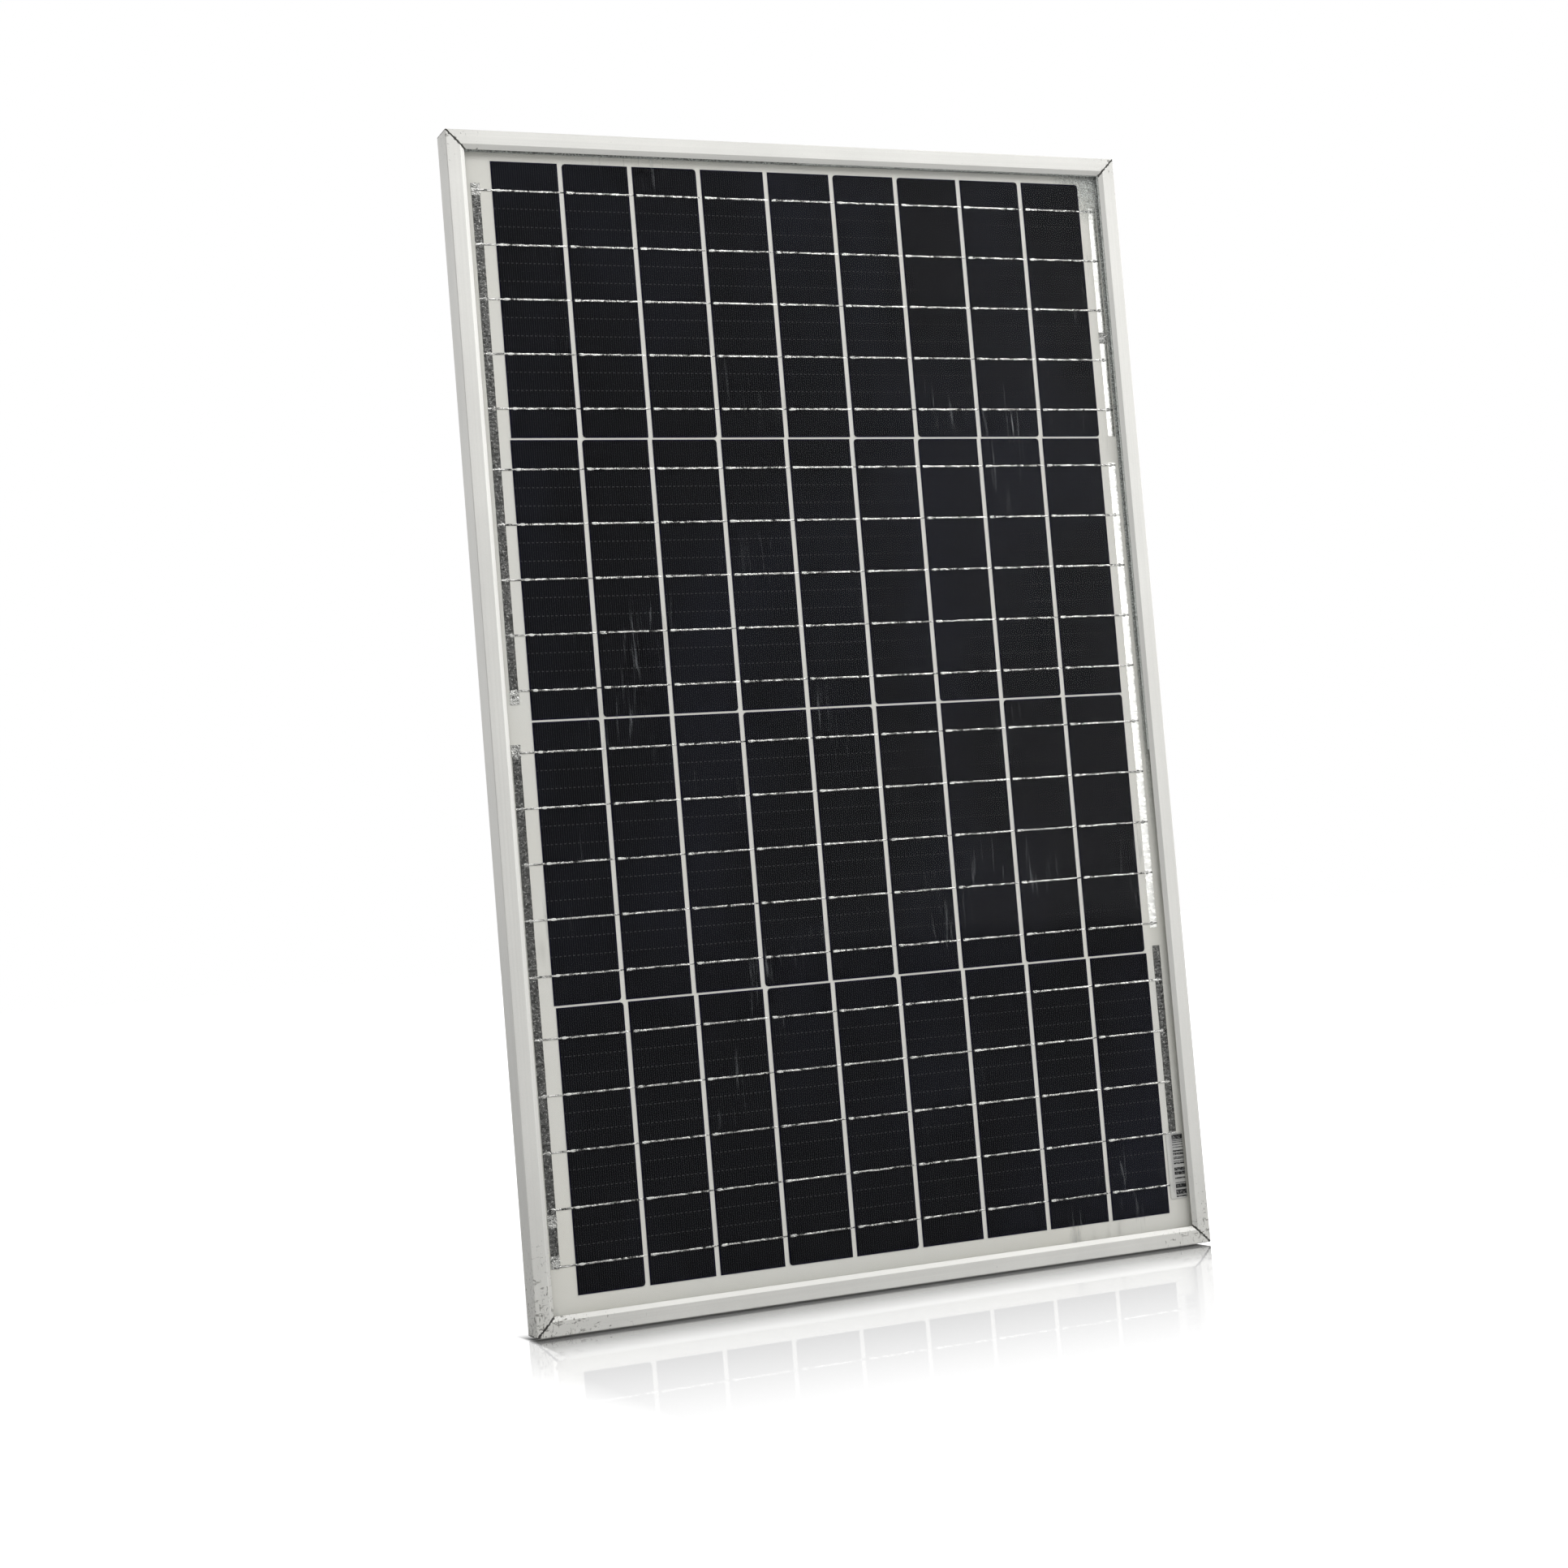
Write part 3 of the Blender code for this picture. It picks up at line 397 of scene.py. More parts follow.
def new_group(name, outputs, **inputs):
    """A shader node group that takes a Vector and other inputs, given with defaults, and puts out values."""
    tree = bpy.data.node_groups.new(name, "ShaderNodeTree")
    for label, default in {"Vector": (0, 0, 0), **inputs}.items():
        kind = "NodeSocketVector" if isinstance(default, tuple) else "NodeSocketFloat"
        tree.interface.new_socket(label, in_out="INPUT", socket_type=kind).default_value = default
    for label in outputs:
        tree.interface.new_socket(label, in_out="OUTPUT", socket_type="NodeSocketFloat")
    return tree, tree.nodes.new("NodeGroupInput").outputs, tree.nodes.new("NodeGroupOutput")


def use_group(tree, name, **inputs):
    return add_node(tree, "ShaderNodeGroup", inputs, node_tree=GROUPS[name]).outputs


def make_grain():
    """Fine grain: a tone near 1, and a height for a bump."""
    tree, source, sink = new_group("fine_grain", ["Tone", "Height"], Scale=500.0, Contrast=0.1)
    height = noise(tree, source["Vector"], source["Scale"], 3.0)
    tone = multiply(tree, subtract(tree, height, 0.5), source["Contrast"])
    feed(tree, sink, "Tone", add(tree, tone, 1.0))
    feed(tree, sink, "Height", height)
    return tree


def make_specks():
    """Scattered specks: a mask of how much of the surface they cover."""
    tree, source, sink = new_group("speckle", ["Mask", "Height"], Scale=800.0, Cover=0.3)
    specks = noise(tree, source["Vector"], source["Scale"], 2.0, 0.4)
    edge = subtract(tree, 0.72, multiply(tree, source["Cover"], 0.4))
    feed(tree, sink, "Mask", multiply(tree, subtract(tree, specks, edge), 14.0, clamp=True))
    feed(tree, sink, "Height", specks)
    return tree


def make_curls():
    """Short curling lines, as on hammered or hand-wiped solder."""
    tree, source, sink = new_group("curling_lines", ["Mask", "Height"], Scale=800.0, Width=0.03, Gaps=0.5)
    field = noise(tree, source["Vector"], source["Scale"], 1.0, 0.3)
    off_line = absolute(tree, subtract(tree, field, 0.5))
    line = subtract(tree, 1.0, divide(tree, off_line, source["Width"]), clamp=True)
    broken = noise(tree, source["Vector"], multiply(tree, source["Scale"], 0.6), 1.0)
    kept = multiply(tree, subtract(tree, broken, source["Gaps"]), 12.0, clamp=True)
    feed(tree, sink, "Mask", multiply(tree, line, kept))
    feed(tree, sink, "Height", field)
    return tree


def make_scuffs():
    """Short scratches and smears, longer along the axis whose stretch is smaller."""
    tree, source, sink = new_group("scuffs", ["Mask"], Stretch=(1, 1, 1), Scale=300.0, Rarity=0.62)
    place = stretched(tree, source["Vector"], source["Stretch"])
    marks = noise(tree, place, source["Scale"], 4.0, 0.8)
    feed(tree, sink, "Mask", multiply(tree, subtract(tree, marks, source["Rarity"]), 12.0, clamp=True))
    return tree


def make_nearness():
    """How near a place is to a point: 1 there, 0 beyond the reach."""
    tree, source, sink = new_group("nearness", ["Mask"], Point=(0, 0, 0), Reach=0.05)
    sockets = {0: source["Vector"], 1: source["Point"]}
    gap = add_node(tree, "ShaderNodeVectorMath", sockets, operation="DISTANCE").outputs["Value"]
    feed(tree, sink, "Mask", subtract(tree, 1.0, divide(tree, gap, source["Reach"]), clamp=True))
    return tree


GROUPS = {}


def build_groups():
    makers = {
        "grain": make_grain,
        "speckle": make_specks,
        "curls": make_curls,
        "scuffs": make_scuffs,
        "nearness": make_nearness,
    }
    for name, make in makers.items():
        GROUPS[name] = make()


def grain(tree, place, scale, contrast):
    return use_group(tree, "grain", Vector=place, Scale=scale, Contrast=contrast)


def speckle(tree, place, scale, cover):
    return use_group(tree, "speckle", Vector=place, Scale=scale, Cover=cover)["Mask"]


def scuffs(tree, place, stretch, scale, rarity):
    return use_group(tree, "scuffs", Vector=place, Stretch=stretch, Scale=scale, Rarity=rarity)["Mask"]


def nearness(tree, place, point, reach):
    return use_group(tree, "nearness", Vector=place, Point=point, Reach=reach)["Mask"]


# Finishes, each filed under its name


FINISHES = {}


def new_finish(name, roughness=0.5, metallic=0.0, **sockets):
    """Starts a finish with its shader's plain values, and gives its tree, shader and Object coordinates."""
    made = bpy.data.materials.new(name)
    made.use_nodes = True
    FINISHES[name] = made
    tree = made.node_tree
    shader = tree.nodes["Principled BSDF"]
    for key, value in {"Roughness": roughness, "Metallic": metallic, **sockets}.items():
        shader.inputs[key].default_value = value
    return tree, shader, add_node(tree, "ShaderNodeTexCoord").outputs["Object"]


# Dirt at each front corner: the corner, how far the dirt reaches and how strong it is
CORNER_DIRT = (
    ((LOW.x, LOW.y, LOW.z), 0.090, 0.90),
    ((HIGH.x, LOW.y, LOW.z), 0.060, 0.90),
    ((LOW.x, LOW.y, HIGH.z), 0.030, 0.70),
    ((HIGH.x, LOW.y, HIGH.z), 0.030, 0.70),
)


def anodised(name, stretch):
    """Satin anodised aluminium: extrusion lines, ragged mitre seams, scuffs and dirt at the corners."""
    tree, shader, place = new_finish(name, 0.40, 0.30)
    lines = noise(tree, stretched(tree, place, stretch), 900.0, 3.0)
    cloud = noise(tree, place, 18.0, 3.0)
    fine = grain(tree, place, 1800.0, 0.10)
    tone = multiply(tree, fine["Tone"], rescale(tree, lines, 0.3, 0.7, 0.97, 1.02))
    tone = multiply(tree, tone, rescale(tree, cloud, 0.3, 0.7, 0.96, 1.02))

    axes = axes_of(tree, place)
    middle, half = (LOW + HIGH) / 2, (HIGH - LOW) / 2
    from_side = subtract(tree, half.x, absolute(tree, axes[0]))
    across = absolute(tree, subtract(tree, axes[2], middle.z))
    from_end = subtract(tree, half.z, across)
    off_seam = absolute(tree, subtract(tree, from_side, from_end))
    ragged = noise(tree, place, 700.0, 3.0)
    seam_width = rescale(tree, ragged, 0.35, 0.7, 0.0004, 0.0014)
    seam = below(tree, off_seam, seam_width)

    dirt = rescale(tree, off_seam, 0.0, 0.004, 0.55, 0.0)
    for corner, reach, weight in CORNER_DIRT:
        near = multiply(tree, nearness(tree, place, corner, reach), weight)
        dirt = larger(tree, near, dirt)
    rarity = subtract(tree, 0.75, multiply(tree, dirt, 0.22))
    upright_marks = scuffs(tree, place, (1.0, 1.0, 0.35), 900.0, rarity)
    level_marks = scuffs(tree, place, (0.30, 1.0, 0.8), 620.0, rarity)
    marks = larger(tree, upright_marks, level_marks)
    film = multiply(tree, noise(tree, place, 120.0, 5.0), dirt)

    metal = toned(tree, (0.79, 0.785, 0.75), tone)
    dusty = blend_colour(tree, multiply(tree, film, 0.40), metal, (0.36, 0.355, 0.32))
    shown = blend_colour(tree, multiply(tree, marks, 0.80), dusty, (0.13, 0.125, 0.11))
    shown = blend_colour(tree, multiply(tree, seam, 0.92), shown, (0.035, 0.033, 0.03))
    feed(tree, shader, "Base Color", shown)
    feed(tree, shader, "Roughness", rescale(tree, marks, 0.0, 1.0, 0.40, 0.75))
    relief = add(tree, multiply(tree, lines, 0.7), fine["Height"])
    bump(tree, shader, subtract(tree, relief, seam), 0.25, 0.00005)


def cover_glass():
    """Tempered solar glass with a faint haze, upright wipe marks and a little dust."""
    tree, shader, place = new_finish("cover_glass", 0.05, IOR=1.7)
    wipes = noise(tree, stretched(tree, place, (1.0, 1.0, 0.08)), 380.0, 3.0, 0.5)
    patches = noise(tree, place, 11.0, 2.0)
    where = rescale(tree, patches, 0.56, 0.66)
    smear = multiply(tree, rescale(tree, wipes, 0.58, 0.74), where)
    haze = rescale(tree, noise(tree, place, 5.0, 2.0), 0.45, 0.75)
    dust = rescale(tree, noise(tree, place, 520.0, 1.0), 0.80, 0.84)
    smear = larger(tree, smear, multiply(tree, dust, 0.7))
    colour = blend_colour(tree, smear, (0.012, 0.015, 0.018), (0.34, 0.36, 0.38))
    feed(tree, shader, "Base Color", colour)
    cloudy = multiply(tree, haze, 0.010)
    cover = add(tree, multiply(tree, smear, 0.40), cloudy)
    seen_from_outside(tree, shader, add(tree, cover, 0.055))
    feed(tree, shader, "Roughness", rescale(tree, smear, 0.0, 1.0, 0.04, 0.35))


def clear_film():
    """Melted clear film: nearly invisible, but wet along the lip and sandy at the upper right corner."""
    tree, shader, place = new_finish("clear_film", 0.25, IOR=1.45)
    axes = axes_of(tree, place)
    from_side = subtract(tree, HIGH.x - LIP_REACH, axes[0])
    near_side = rescale(tree, from_side, 0.0005, 0.0012, 1.0, 0.0)
    near_side = multiply(tree, near_side, rescale(tree, axes[2], 0.25, 0.45))
    from_top = subtract(tree, HIGH.z - LIP_REACH, axes[2])
    near_top = rescale(tree, from_top, -0.0005, 0.0004, 0.8, 0.0)
    corner = (HIGH.x - LIP_REACH, LOW.y, HIGH.z - LIP_REACH)
    near_corner = nearness(tree, place, corner, 0.032)
    past_cells = larger(tree, below(tree, from_side, CELLS_TO_LIP), below(tree, from_top, 0.0045))
    near_corner = multiply(tree, near_corner, past_cells)
    edge = larger(tree, near_side, near_top)
    specks = speckle(tree, place, 1300.0, 0.75)
    sand = multiply(tree, specks, near_corner)
    wet = multiply(tree, edge, rescale(tree, noise(tree, place, 500.0), 0.35, 0.6, 0.55, 0.95))
    feed(tree, shader, "Alpha", larger(tree, sand, wet))
    grains = noise(tree, place, 1100.0, 1.0)
    pale = rescale(tree, grains, 0.38, 0.60, 0.32, 1.0)
    dark = rescale(tree, grains, 0.44, 0.62, 0.36, 1.0)
    tone = blend_value(tree, edge, pale, dark)
    feed(tree, shader, "Base Color", toned(tree, (0.96, 1.0, 0.97), tone))


def white_sheet(name, colour, roughness):
    """White film, with a soft mottle and a faint yellowing."""
    tree, shader, place = new_finish(name, roughness)
    mottle = noise(tree, place, 14.0, 3.0)
    fine = grain(tree, place, 700.0, 0.05)
    tone = multiply(tree, fine["Tone"], rescale(tree, mottle, 0.3, 0.7, 0.96, 1.02))
    warm = blend_colour(tree, rescale(tree, mottle, 0.35, 0.7, 0.0, 0.5), colour, (0.80, 0.78, 0.70))
    shown = blend_colour(tree, 1.0, warm, toned(tree, (1.0, 1.0, 1.0), tone), "MULTIPLY")
    feed(tree, shader, "Base Color", shown)
    bump(tree, shader, add(tree, mottle, fine["Height"]), 0.15, 0.0001)


def backsheet():
    """The rear film, in which the cells under it show as a faint relief."""
    tree, shader, place = new_finish("backsheet", 0.5)
    axes = axes_of(tree, place)
    settings = bpy.context.scene.solar_array
    left = subtract(tree, axes[0], LOW.x + settings.array_left)
    column = fraction(tree, divide(tree, left, settings.column_pitch))
    gap = rescale(tree, column, settings.cell_width / settings.column_pitch, 1.0, 0.0, 1.0)
    gap = above(tree, gap, 0.02)
    string_low, string_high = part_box("cell_string_1")
    pitch = string_high.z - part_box("cell_string_2")[1].z
    down = subtract(tree, string_high.z, axes[2])
    row = fraction(tree, divide(tree, down, pitch))
    between = above(tree, row, (string_high.z - string_low.z) / pitch)
    width = COLUMNS * settings.column_pitch
    within_x = multiply(tree, above(tree, left, 0.0), below(tree, left, width))
    within_z = multiply(tree, above(tree, down, 0.0), below(tree, down, STRINGS * pitch))
    inside = multiply(tree, within_x, within_z)
    raised = subtract(tree, 1.0, larger(tree, gap, between))
    raised = multiply(tree, raised, inside)
    mottle = noise(tree, place, 25.0, 4.0)
    fine = grain(tree, place, 900.0, 0.06)
    tone = multiply(tree, fine["Tone"], rescale(tree, mottle, 0.3, 0.7, 0.95, 1.02))
    tone = multiply(tree, tone, rescale(tree, raised, 0.0, 1.0, 1.0, 0.94))
    feed(tree, shader, "Base Color", toned(tree, (0.80, 0.80, 0.77), tone))
    relief = add(tree, multiply(tree, raised, 2.0), fine["Height"])
    bump(tree, shader, relief, 0.3, 0.0001)


def silicon():
    """Blue-black cell: printed fingers, dotted links between them, and a bare navy margin.

    The cell's UV map runs from 0 to 1 over its width and its height.
    """
    tree, shader, place = new_finish("silicon_cell", 0.42)
    feed(tree, shader, "Specular IOR Level", 0.03)
    settings = bpy.context.scene.solar_array
    flat = add_node(tree, "ShaderNodeUVMap", uv_map="cell").outputs[0]
    axes = axes_of(tree, flat)
    fingers = round(settings.cell_width / settings.finger_pitch)
    wave = sine(tree, multiply(tree, axes[0], 2 * math.pi * fingers))
    finger = rescale(tree, wave, -0.3, 0.9)
    from_top = multiply(tree, subtract(tree, 1.0, axes[1]), CELL_HEIGHT)
    first = (CELL_HEIGHT - (RIBBONS - 1) * RIBBON_PITCH) / 2
    thirds = divide(tree, subtract(tree, from_top, first), RIBBON_PITCH / 3)
    off_line = absolute(tree, subtract(tree, thirds, nearest_whole(tree, thirds)))
    line = below(tree, off_line, 0.022)
    inner = multiply(tree, above(tree, thirds, 0.5), below(tree, thirds, 3 * (RIBBONS - 1) - 0.5))
    dots = above(tree, sine(tree, multiply(tree, axes[0], math.pi * fingers)), 0.2)
    dotted = multiply(tree, multiply(tree, line, inner), dots)
    across = absolute(tree, subtract(tree, axes[0], 0.5))
    up = absolute(tree, subtract(tree, axes[1], 0.5))
    side = above(tree, across, 0.5 - settings.cell_margin / settings.cell_width)
    end = above(tree, up, 0.5 - settings.cell_margin / CELL_HEIGHT)
    margin = larger(tree, side, end)
    # Brighter bluish patches in the cells' colour: painted light, standing in for the lit haze of the glass
    # over them.
    cloud = noise(tree, stretched(tree, place, (1.0, 1.0, 0.6)), 9.0, 2.0)
    painted_haze_light = rescale(tree, cloud, 0.45, 0.72)
    base = blend_colour(tree, painted_haze_light, (0.0035, 0.0036, 0.0045), (0.0090, 0.0100, 0.0160))
    lit = blend_colour(tree, multiply(tree, finger, 0.75), base, (0.022, 0.022, 0.025))
    lit = blend_colour(tree, multiply(tree, dotted, 0.8), lit, (0.075, 0.075, 0.078))
    shown = blend_colour(tree, margin, lit, (0.006, 0.005, 0.020))
    feed(tree, shader, "Base Color", shown)


def tinned(name, tones, roughness, metallic, scale, lines, dents):
    """Tinned copper with smears, a dark and a light tone, and curling lines from hammering or wiping. Where
    the tones run from near black to white, they are partly painted glints and painted shade.
    """
    tree, shader, place = new_finish(name, roughness, metallic)
    dark, light, line_tone = ((tone, tone, tone * 0.96) for tone in tones)
    flow = noise(tree, stretched(tree, place, (0.35, 1.0, 1.0)), scale, 3.0, 0.7)
    width, gaps = lines
    curls = use_group(tree, "curls", Vector=place, Scale=scale * 1.6, Width=width, Gaps=gaps)
    body = blend_colour(tree, rescale(tree, flow, 0.40, 0.60), dark, light)
    feed(tree, shader, "Base Color", blend_colour(tree, curls["Mask"], body, line_tone))
    feed(tree, shader, "Roughness", rescale(tree, flow, 0.3, 0.7, roughness + 0.12, roughness - 0.08))
    relief = add(tree, flow, multiply(tree, curls["Height"], 0.8))
    bump(tree, shader, relief, 0.8, dents)


def serial_film():
    """A clear printed film with a thin outline and a stack of plain bars that encode nothing."""
    tree, shader, place = new_finish("serial_film", 0.35)
    low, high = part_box("serial_label")
    axes = axes_of(tree, place)
    right = subtract(tree, axes[0], low.x)
    up = subtract(tree, axes[2], low.z)
    width, height = high.x - low.x, high.z - low.z
    bar_step = whole_part(tree, divide(tree, up, bpy.context.scene.solar_array.bar_height))
    dark = add_node(tree, "ShaderNodeTexWhiteNoise", {"W": bar_step}, noise_dimensions="1D").outputs[0]
    bar = rescale(tree, dark, 0.34, 0.42)
    right_part = above(tree, right, 0.36 * width)
    ends = below(tree, absolute(tree, subtract(tree, up, height / 2)), height / 2 - 0.0008)
    bar = multiply(tree, multiply(tree, bar, right_part), ends)
    inset = 0.0004
    off_x = absolute(tree, subtract(tree, right, width / 2))
    off_z = absolute(tree, subtract(tree, up, height / 2))
    rim = larger(tree, above(tree, off_x, width / 2 - inset), above(tree, off_z, height / 2 - inset))
    ink = larger(tree, bar, multiply(tree, rim, 0.35))
    worn = multiply(tree, ink, rescale(tree, noise(tree, place, 1200.0), 0.3, 0.5, 0.6, 1.0))
    paper = blend_colour(tree, worn, (0.90, 0.90, 0.88), (0.01, 0.01, 0.012))
    feed(tree, shader, "Base Color", paper)
    seen_from_outside(tree, shader, rescale(tree, worn, 0.0, 1.0, 0.60, 1.0))


def rating_film():
    """A blank printed label with a ruled border and ruled rows, and no wording."""
    tree, shader, place = new_finish("rating_film", 0.38)
    low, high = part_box("rating_label")
    axes = axes_of(tree, place)
    middle = (low + high) / 2
    half_width, half_height = (high.x - low.x) / 2, (high.z - low.z) / 2
    off_x = absolute(tree, subtract(tree, axes[0], middle.x))
    off_z = absolute(tree, subtract(tree, axes[2], middle.z))
    margin, line = 0.003, 0.0003
    past_side = subtract(tree, off_x, half_width - margin)
    beyond = larger(tree, past_side, subtract(tree, off_z, half_height - margin))
    border = below(tree, absolute(tree, beyond), line)
    rows = divide(tree, subtract(tree, axes[2], low.z + margin), 0.009)
    off_row = absolute(tree, subtract(tree, rows, nearest_whole(tree, rows)))
    ruled = multiply(tree, below(tree, off_row, 0.014), below(tree, beyond, 0.0))
    ink = larger(tree, border, ruled)
    fine = grain(tree, place, 1500.0, 0.06)
    paper = toned(tree, (0.76, 0.77, 0.77), fine["Tone"])
    feed(tree, shader, "Base Color", blend_colour(tree, ink, paper, (0.05, 0.05, 0.055)))
    bump(tree, shader, fine["Height"], 0.1, 0.00005)


def moulded(name, colour, roughness, scale, contrast, relief):
    """Moulded plastic, rubber or foam: an even grain, dust in its hollows and a little sheen."""
    tree, shader, place = new_finish(name, roughness)
    fine = grain(tree, place, scale, contrast)
    dust = rescale(tree, noise(tree, place, 60.0, 5.0), 0.5, 0.8, 0.0, 0.25)
    body = toned(tree, colour, fine["Tone"])
    feed(tree, shader, "Base Color", blend_colour(tree, dust, body, (0.16, 0.155, 0.145)))
    rough = rescale(tree, fine["Height"], 0.3, 0.7, roughness + 0.1, roughness - 0.06)
    feed(tree, shader, "Roughness", rough)
    bump(tree, shader, fine["Height"], 0.5, relief)


def machined(name, colour, roughness, metallic=1.0, scale=700.0):
    """Plated, stamped or cast metal: fine grain, tarnish in patches and small scratches."""
    tree, shader, place = new_finish(name, roughness, metallic)
    fine = grain(tree, place, scale, 0.25)
    tarnish = rescale(tree, noise(tree, place, 220.0, 4.0), 0.45, 0.75, 0.0, 0.5)
    scratches = scuffs(tree, place, (0.1, 1.0, 1.0), 1600.0, 0.6)
    body = toned(tree, colour, fine["Tone"])
    dull = tuple(channel * 0.45 for channel in colour)
    body = blend_colour(tree, tarnish, body, dull)
    shown = blend_colour(tree, multiply(tree, scratches, 0.3), body, (0.9, 0.9, 0.88))
    feed(tree, shader, "Base Color", shown)
    feed(tree, shader, "Roughness", rescale(tree, tarnish, 0.0, 0.5, roughness, roughness + 0.2))
    bump(tree, shader, fine["Height"], 0.3, 0.00004)


def sealant(name, alpha=1.0):
    """Off-white silicone, lumpy and slightly glossy."""
    tree, shader, place = new_finish(name, 0.28)
    lumps = noise(tree, place, 1100.0, 3.0, 0.5)
    specks = speckle(tree, place, 1700.0, 0.45)
    body = toned(tree, (0.60, 0.63, 0.60), rescale(tree, lumps, 0.3, 0.7, 0.60, 1.3))
    feed(tree, shader, "Base Color", blend_colour(tree, specks, body, (0.9, 0.92, 0.9)))
    feed(tree, shader, "Alpha", alpha)
    bump(tree, shader, lumps, 0.7, 0.0003)


# Each: its dark, light and line tones, roughness, metallic, scale, the lines' width and gaps, and its dents
TINNED = {
    # The ribbon's near-black and white tones are partly uneven tinning and partly painted glints and painted
    # shade.
    "ribbon": ((0.03, 0.82, 1.0), 0.20, 0.9, 560.0, (0.06, 0.40), 0.00050),
    "pad_solder": ((0.80, 0.97, 0.98), 0.30, 0.45, 500.0, (0.05, 0.50), 0.00010),
    # These two rows are lit and shaded copies of one tinned bus ribbon: the first painted dark, a painted
    # shade, the second painted near white, a painted highlight.
    "bus": ((0.06, 0.15, 0.80), 0.32, 0.70, 560.0, (0.035, 0.48), 0.00020),
    "painted_lit_bus": ((0.97, 1.0, 0.30), 0.24, 0.95, 420.0, (0.025, 0.60), 0.00004),
    "solder": ((0.10, 0.55, 0.95), 0.28, 0.6, 900.0, (0.08, 0.40), 0.00030),
    "lead": ((0.38, 0.50, 0.80), 0.34, 0.85, 420.0, (0.03, 0.55), 0.00008),
}
# Each: its colour, roughness, the grain's scale and contrast, and its relief
MOULDED = {
    "black_plastic": ((0.020, 0.020, 0.022), 0.42, 1400.0, 0.35, 0.00008),
    "black_rubber": ((0.022, 0.022, 0.022), 0.72, 900.0, 0.30, 0.00006),
    "adhesive_foam": ((0.085, 0.085, 0.085), 0.85, 2600.0, 0.60, 0.0002),
    "diode_resin": ((0.026, 0.026, 0.028), 0.38, 1800.0, 0.30, 0.00004),
}


def build_finishes():
    anodised("anodised_upright", (1.0, 1.0, 0.006))
    anodised("anodised_level", (0.006, 1.0, 1.0))
    cover_glass()
    clear_film()
    white_sheet("white_film", (0.90, 0.895, 0.84), 0.5)
    backsheet()
    silicon()
    for name, values in TINNED.items():
        tinned(name, *values)
    serial_film()
    rating_film()
    for name, values in MOULDED.items():
        moulded(name, *values)
    machined("stamped_brass", (0.66, 0.48, 0.20), 0.30)
    machined("plated_steel", (0.62, 0.62, 0.60), 0.30)
    machined("die_cast", (0.42, 0.43, 0.44), 0.5, 0.9, 1500.0)
    sealant("edge_sealant")
    sealant("squeezed_bead", 0.8)


# The cell array's layout


def ribbon_heights(string):
    """World z of each of a string's ribbons, from the top one down."""
    low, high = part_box(f"cell_string_{string + 1}")
    first = high.z - (high.z - low.z - (RIBBONS - 1) * RIBBON_PITCH) / 2
    return [first - index * RIBBON_PITCH for index in range(RIBBONS)]


def cell_edge(string, column):
    """World x of a cell's left edge."""
    settings = bpy.context.scene.solar_array
    return LOW.x + settings.array_left + column * settings.column_pitch + STRING_SHIFTS[string]


def cell_template(cut_side):
    """A thin silicon plate at the origin, its two corners cut on the side that was the wafer's edge."""
    settings = bpy.context.scene.solar_array
    width = settings.cell_width
    bpy.ops.object.select_all(action="DESELECT")
    bpy.ops.mesh.primitive_cube_add(size=1, location=(width / 2, CELL_THICKNESS / 2, -CELL_HEIGHT / 2))
    cell = bpy.context.object
    cell.scale = (width, CELL_THICKNESS, CELL_HEIGHT)
    place_mesh(cell)
    if cut_side in "LR":
        side = 0.0 if cut_side == "L" else width
        points = cell.data.vertices

        def at_corner(edge):
            first, second = (points[index].co for index in edge.vertices)
            runs_back = abs(first.y - second.y) > CELL_THICKNESS / 2
            return runs_back and abs(first.x - side) < CELL_THICKNESS

        edit(cell, "EDGE", at_corner)
        bpy.ops.mesh.bevel(offset=settings.corner_cut, segments=2, affect="EDGES")
        close_edit()
    edit(cell, "FACE", lambda face: face.normal.y < -0.5)
    bpy.ops.mesh.inset(thickness=settings.cell_margin, depth=EDGE_SLOPE)
    close_edit()
    layer = cell.data.uv_layers[0]
    layer.name = "cell"
    for loop in cell.data.loops:
        place = cell.data.vertices[loop.vertex_index].co
        layer.data[loop.index].uv = (place.x / width, 1 + place.z / CELL_HEIGHT)
    return cell


def ribbon_sheet(name, start, end, width, front):
    """A flat ribbon from start to end along X, centred on z = 0."""
    steps = max(4, round((end - start) / RIBBON_STEP))
    return panel_strip(name, (start, front, -width / 2), (end, front, width / 2), steps, 4)


def shape_ribbon(ribbon, start, dip, drop):
    """Crowns a ribbon, swells its soldered start, and lets its end dip behind the next cell."""
    width = bpy.context.scene.solar_array.ribbon_width

    def move(chosen, y, widen=1.0):
        edit(ribbon, "VERT", chosen)
        bpy.ops.transform.translate(value=(0, y, 0))
        bpy.ops.transform.resize(value=(1, 1, widen), center_override=(0, 0, 0))
        close_edit()

    move(lambda point: abs(point.co.z) < 0.3 * width, -RIBBON_CROWN)
    if start is not None:
        move(lambda point: point.co.x < start + SOLDERED_START, -RIBBON_CROWN / 2, 1.35)
    if dip is not None:
        first, last = dip
        for step in range(DIP_STEPS):
            edge = first + (last - first) * step / DIP_STEPS
            move(lambda point, edge=edge: point.co.x > edge, drop / DIP_STEPS, 0.93)
    thicken(ribbon, RIBBON_THICKNESS)


def solder_blob(size, neck, draw):
    """One flattened blob of solder at the origin, with what lies beyond its neck along X drawn out."""
    bpy.ops.object.select_all(action="DESELECT")
    bpy.ops.mesh.primitive_uv_sphere_add(segments=14, ring_count=8, radius=0.5)
    blob = bpy.context.object
    blob.scale = size
    place_mesh(blob)
    edit(blob, "VERT", lambda point: point.co.x > neck)
    bpy.ops.transform.resize(value=draw, center_override=(0, 0, 0))
    close_edit()
    return blob


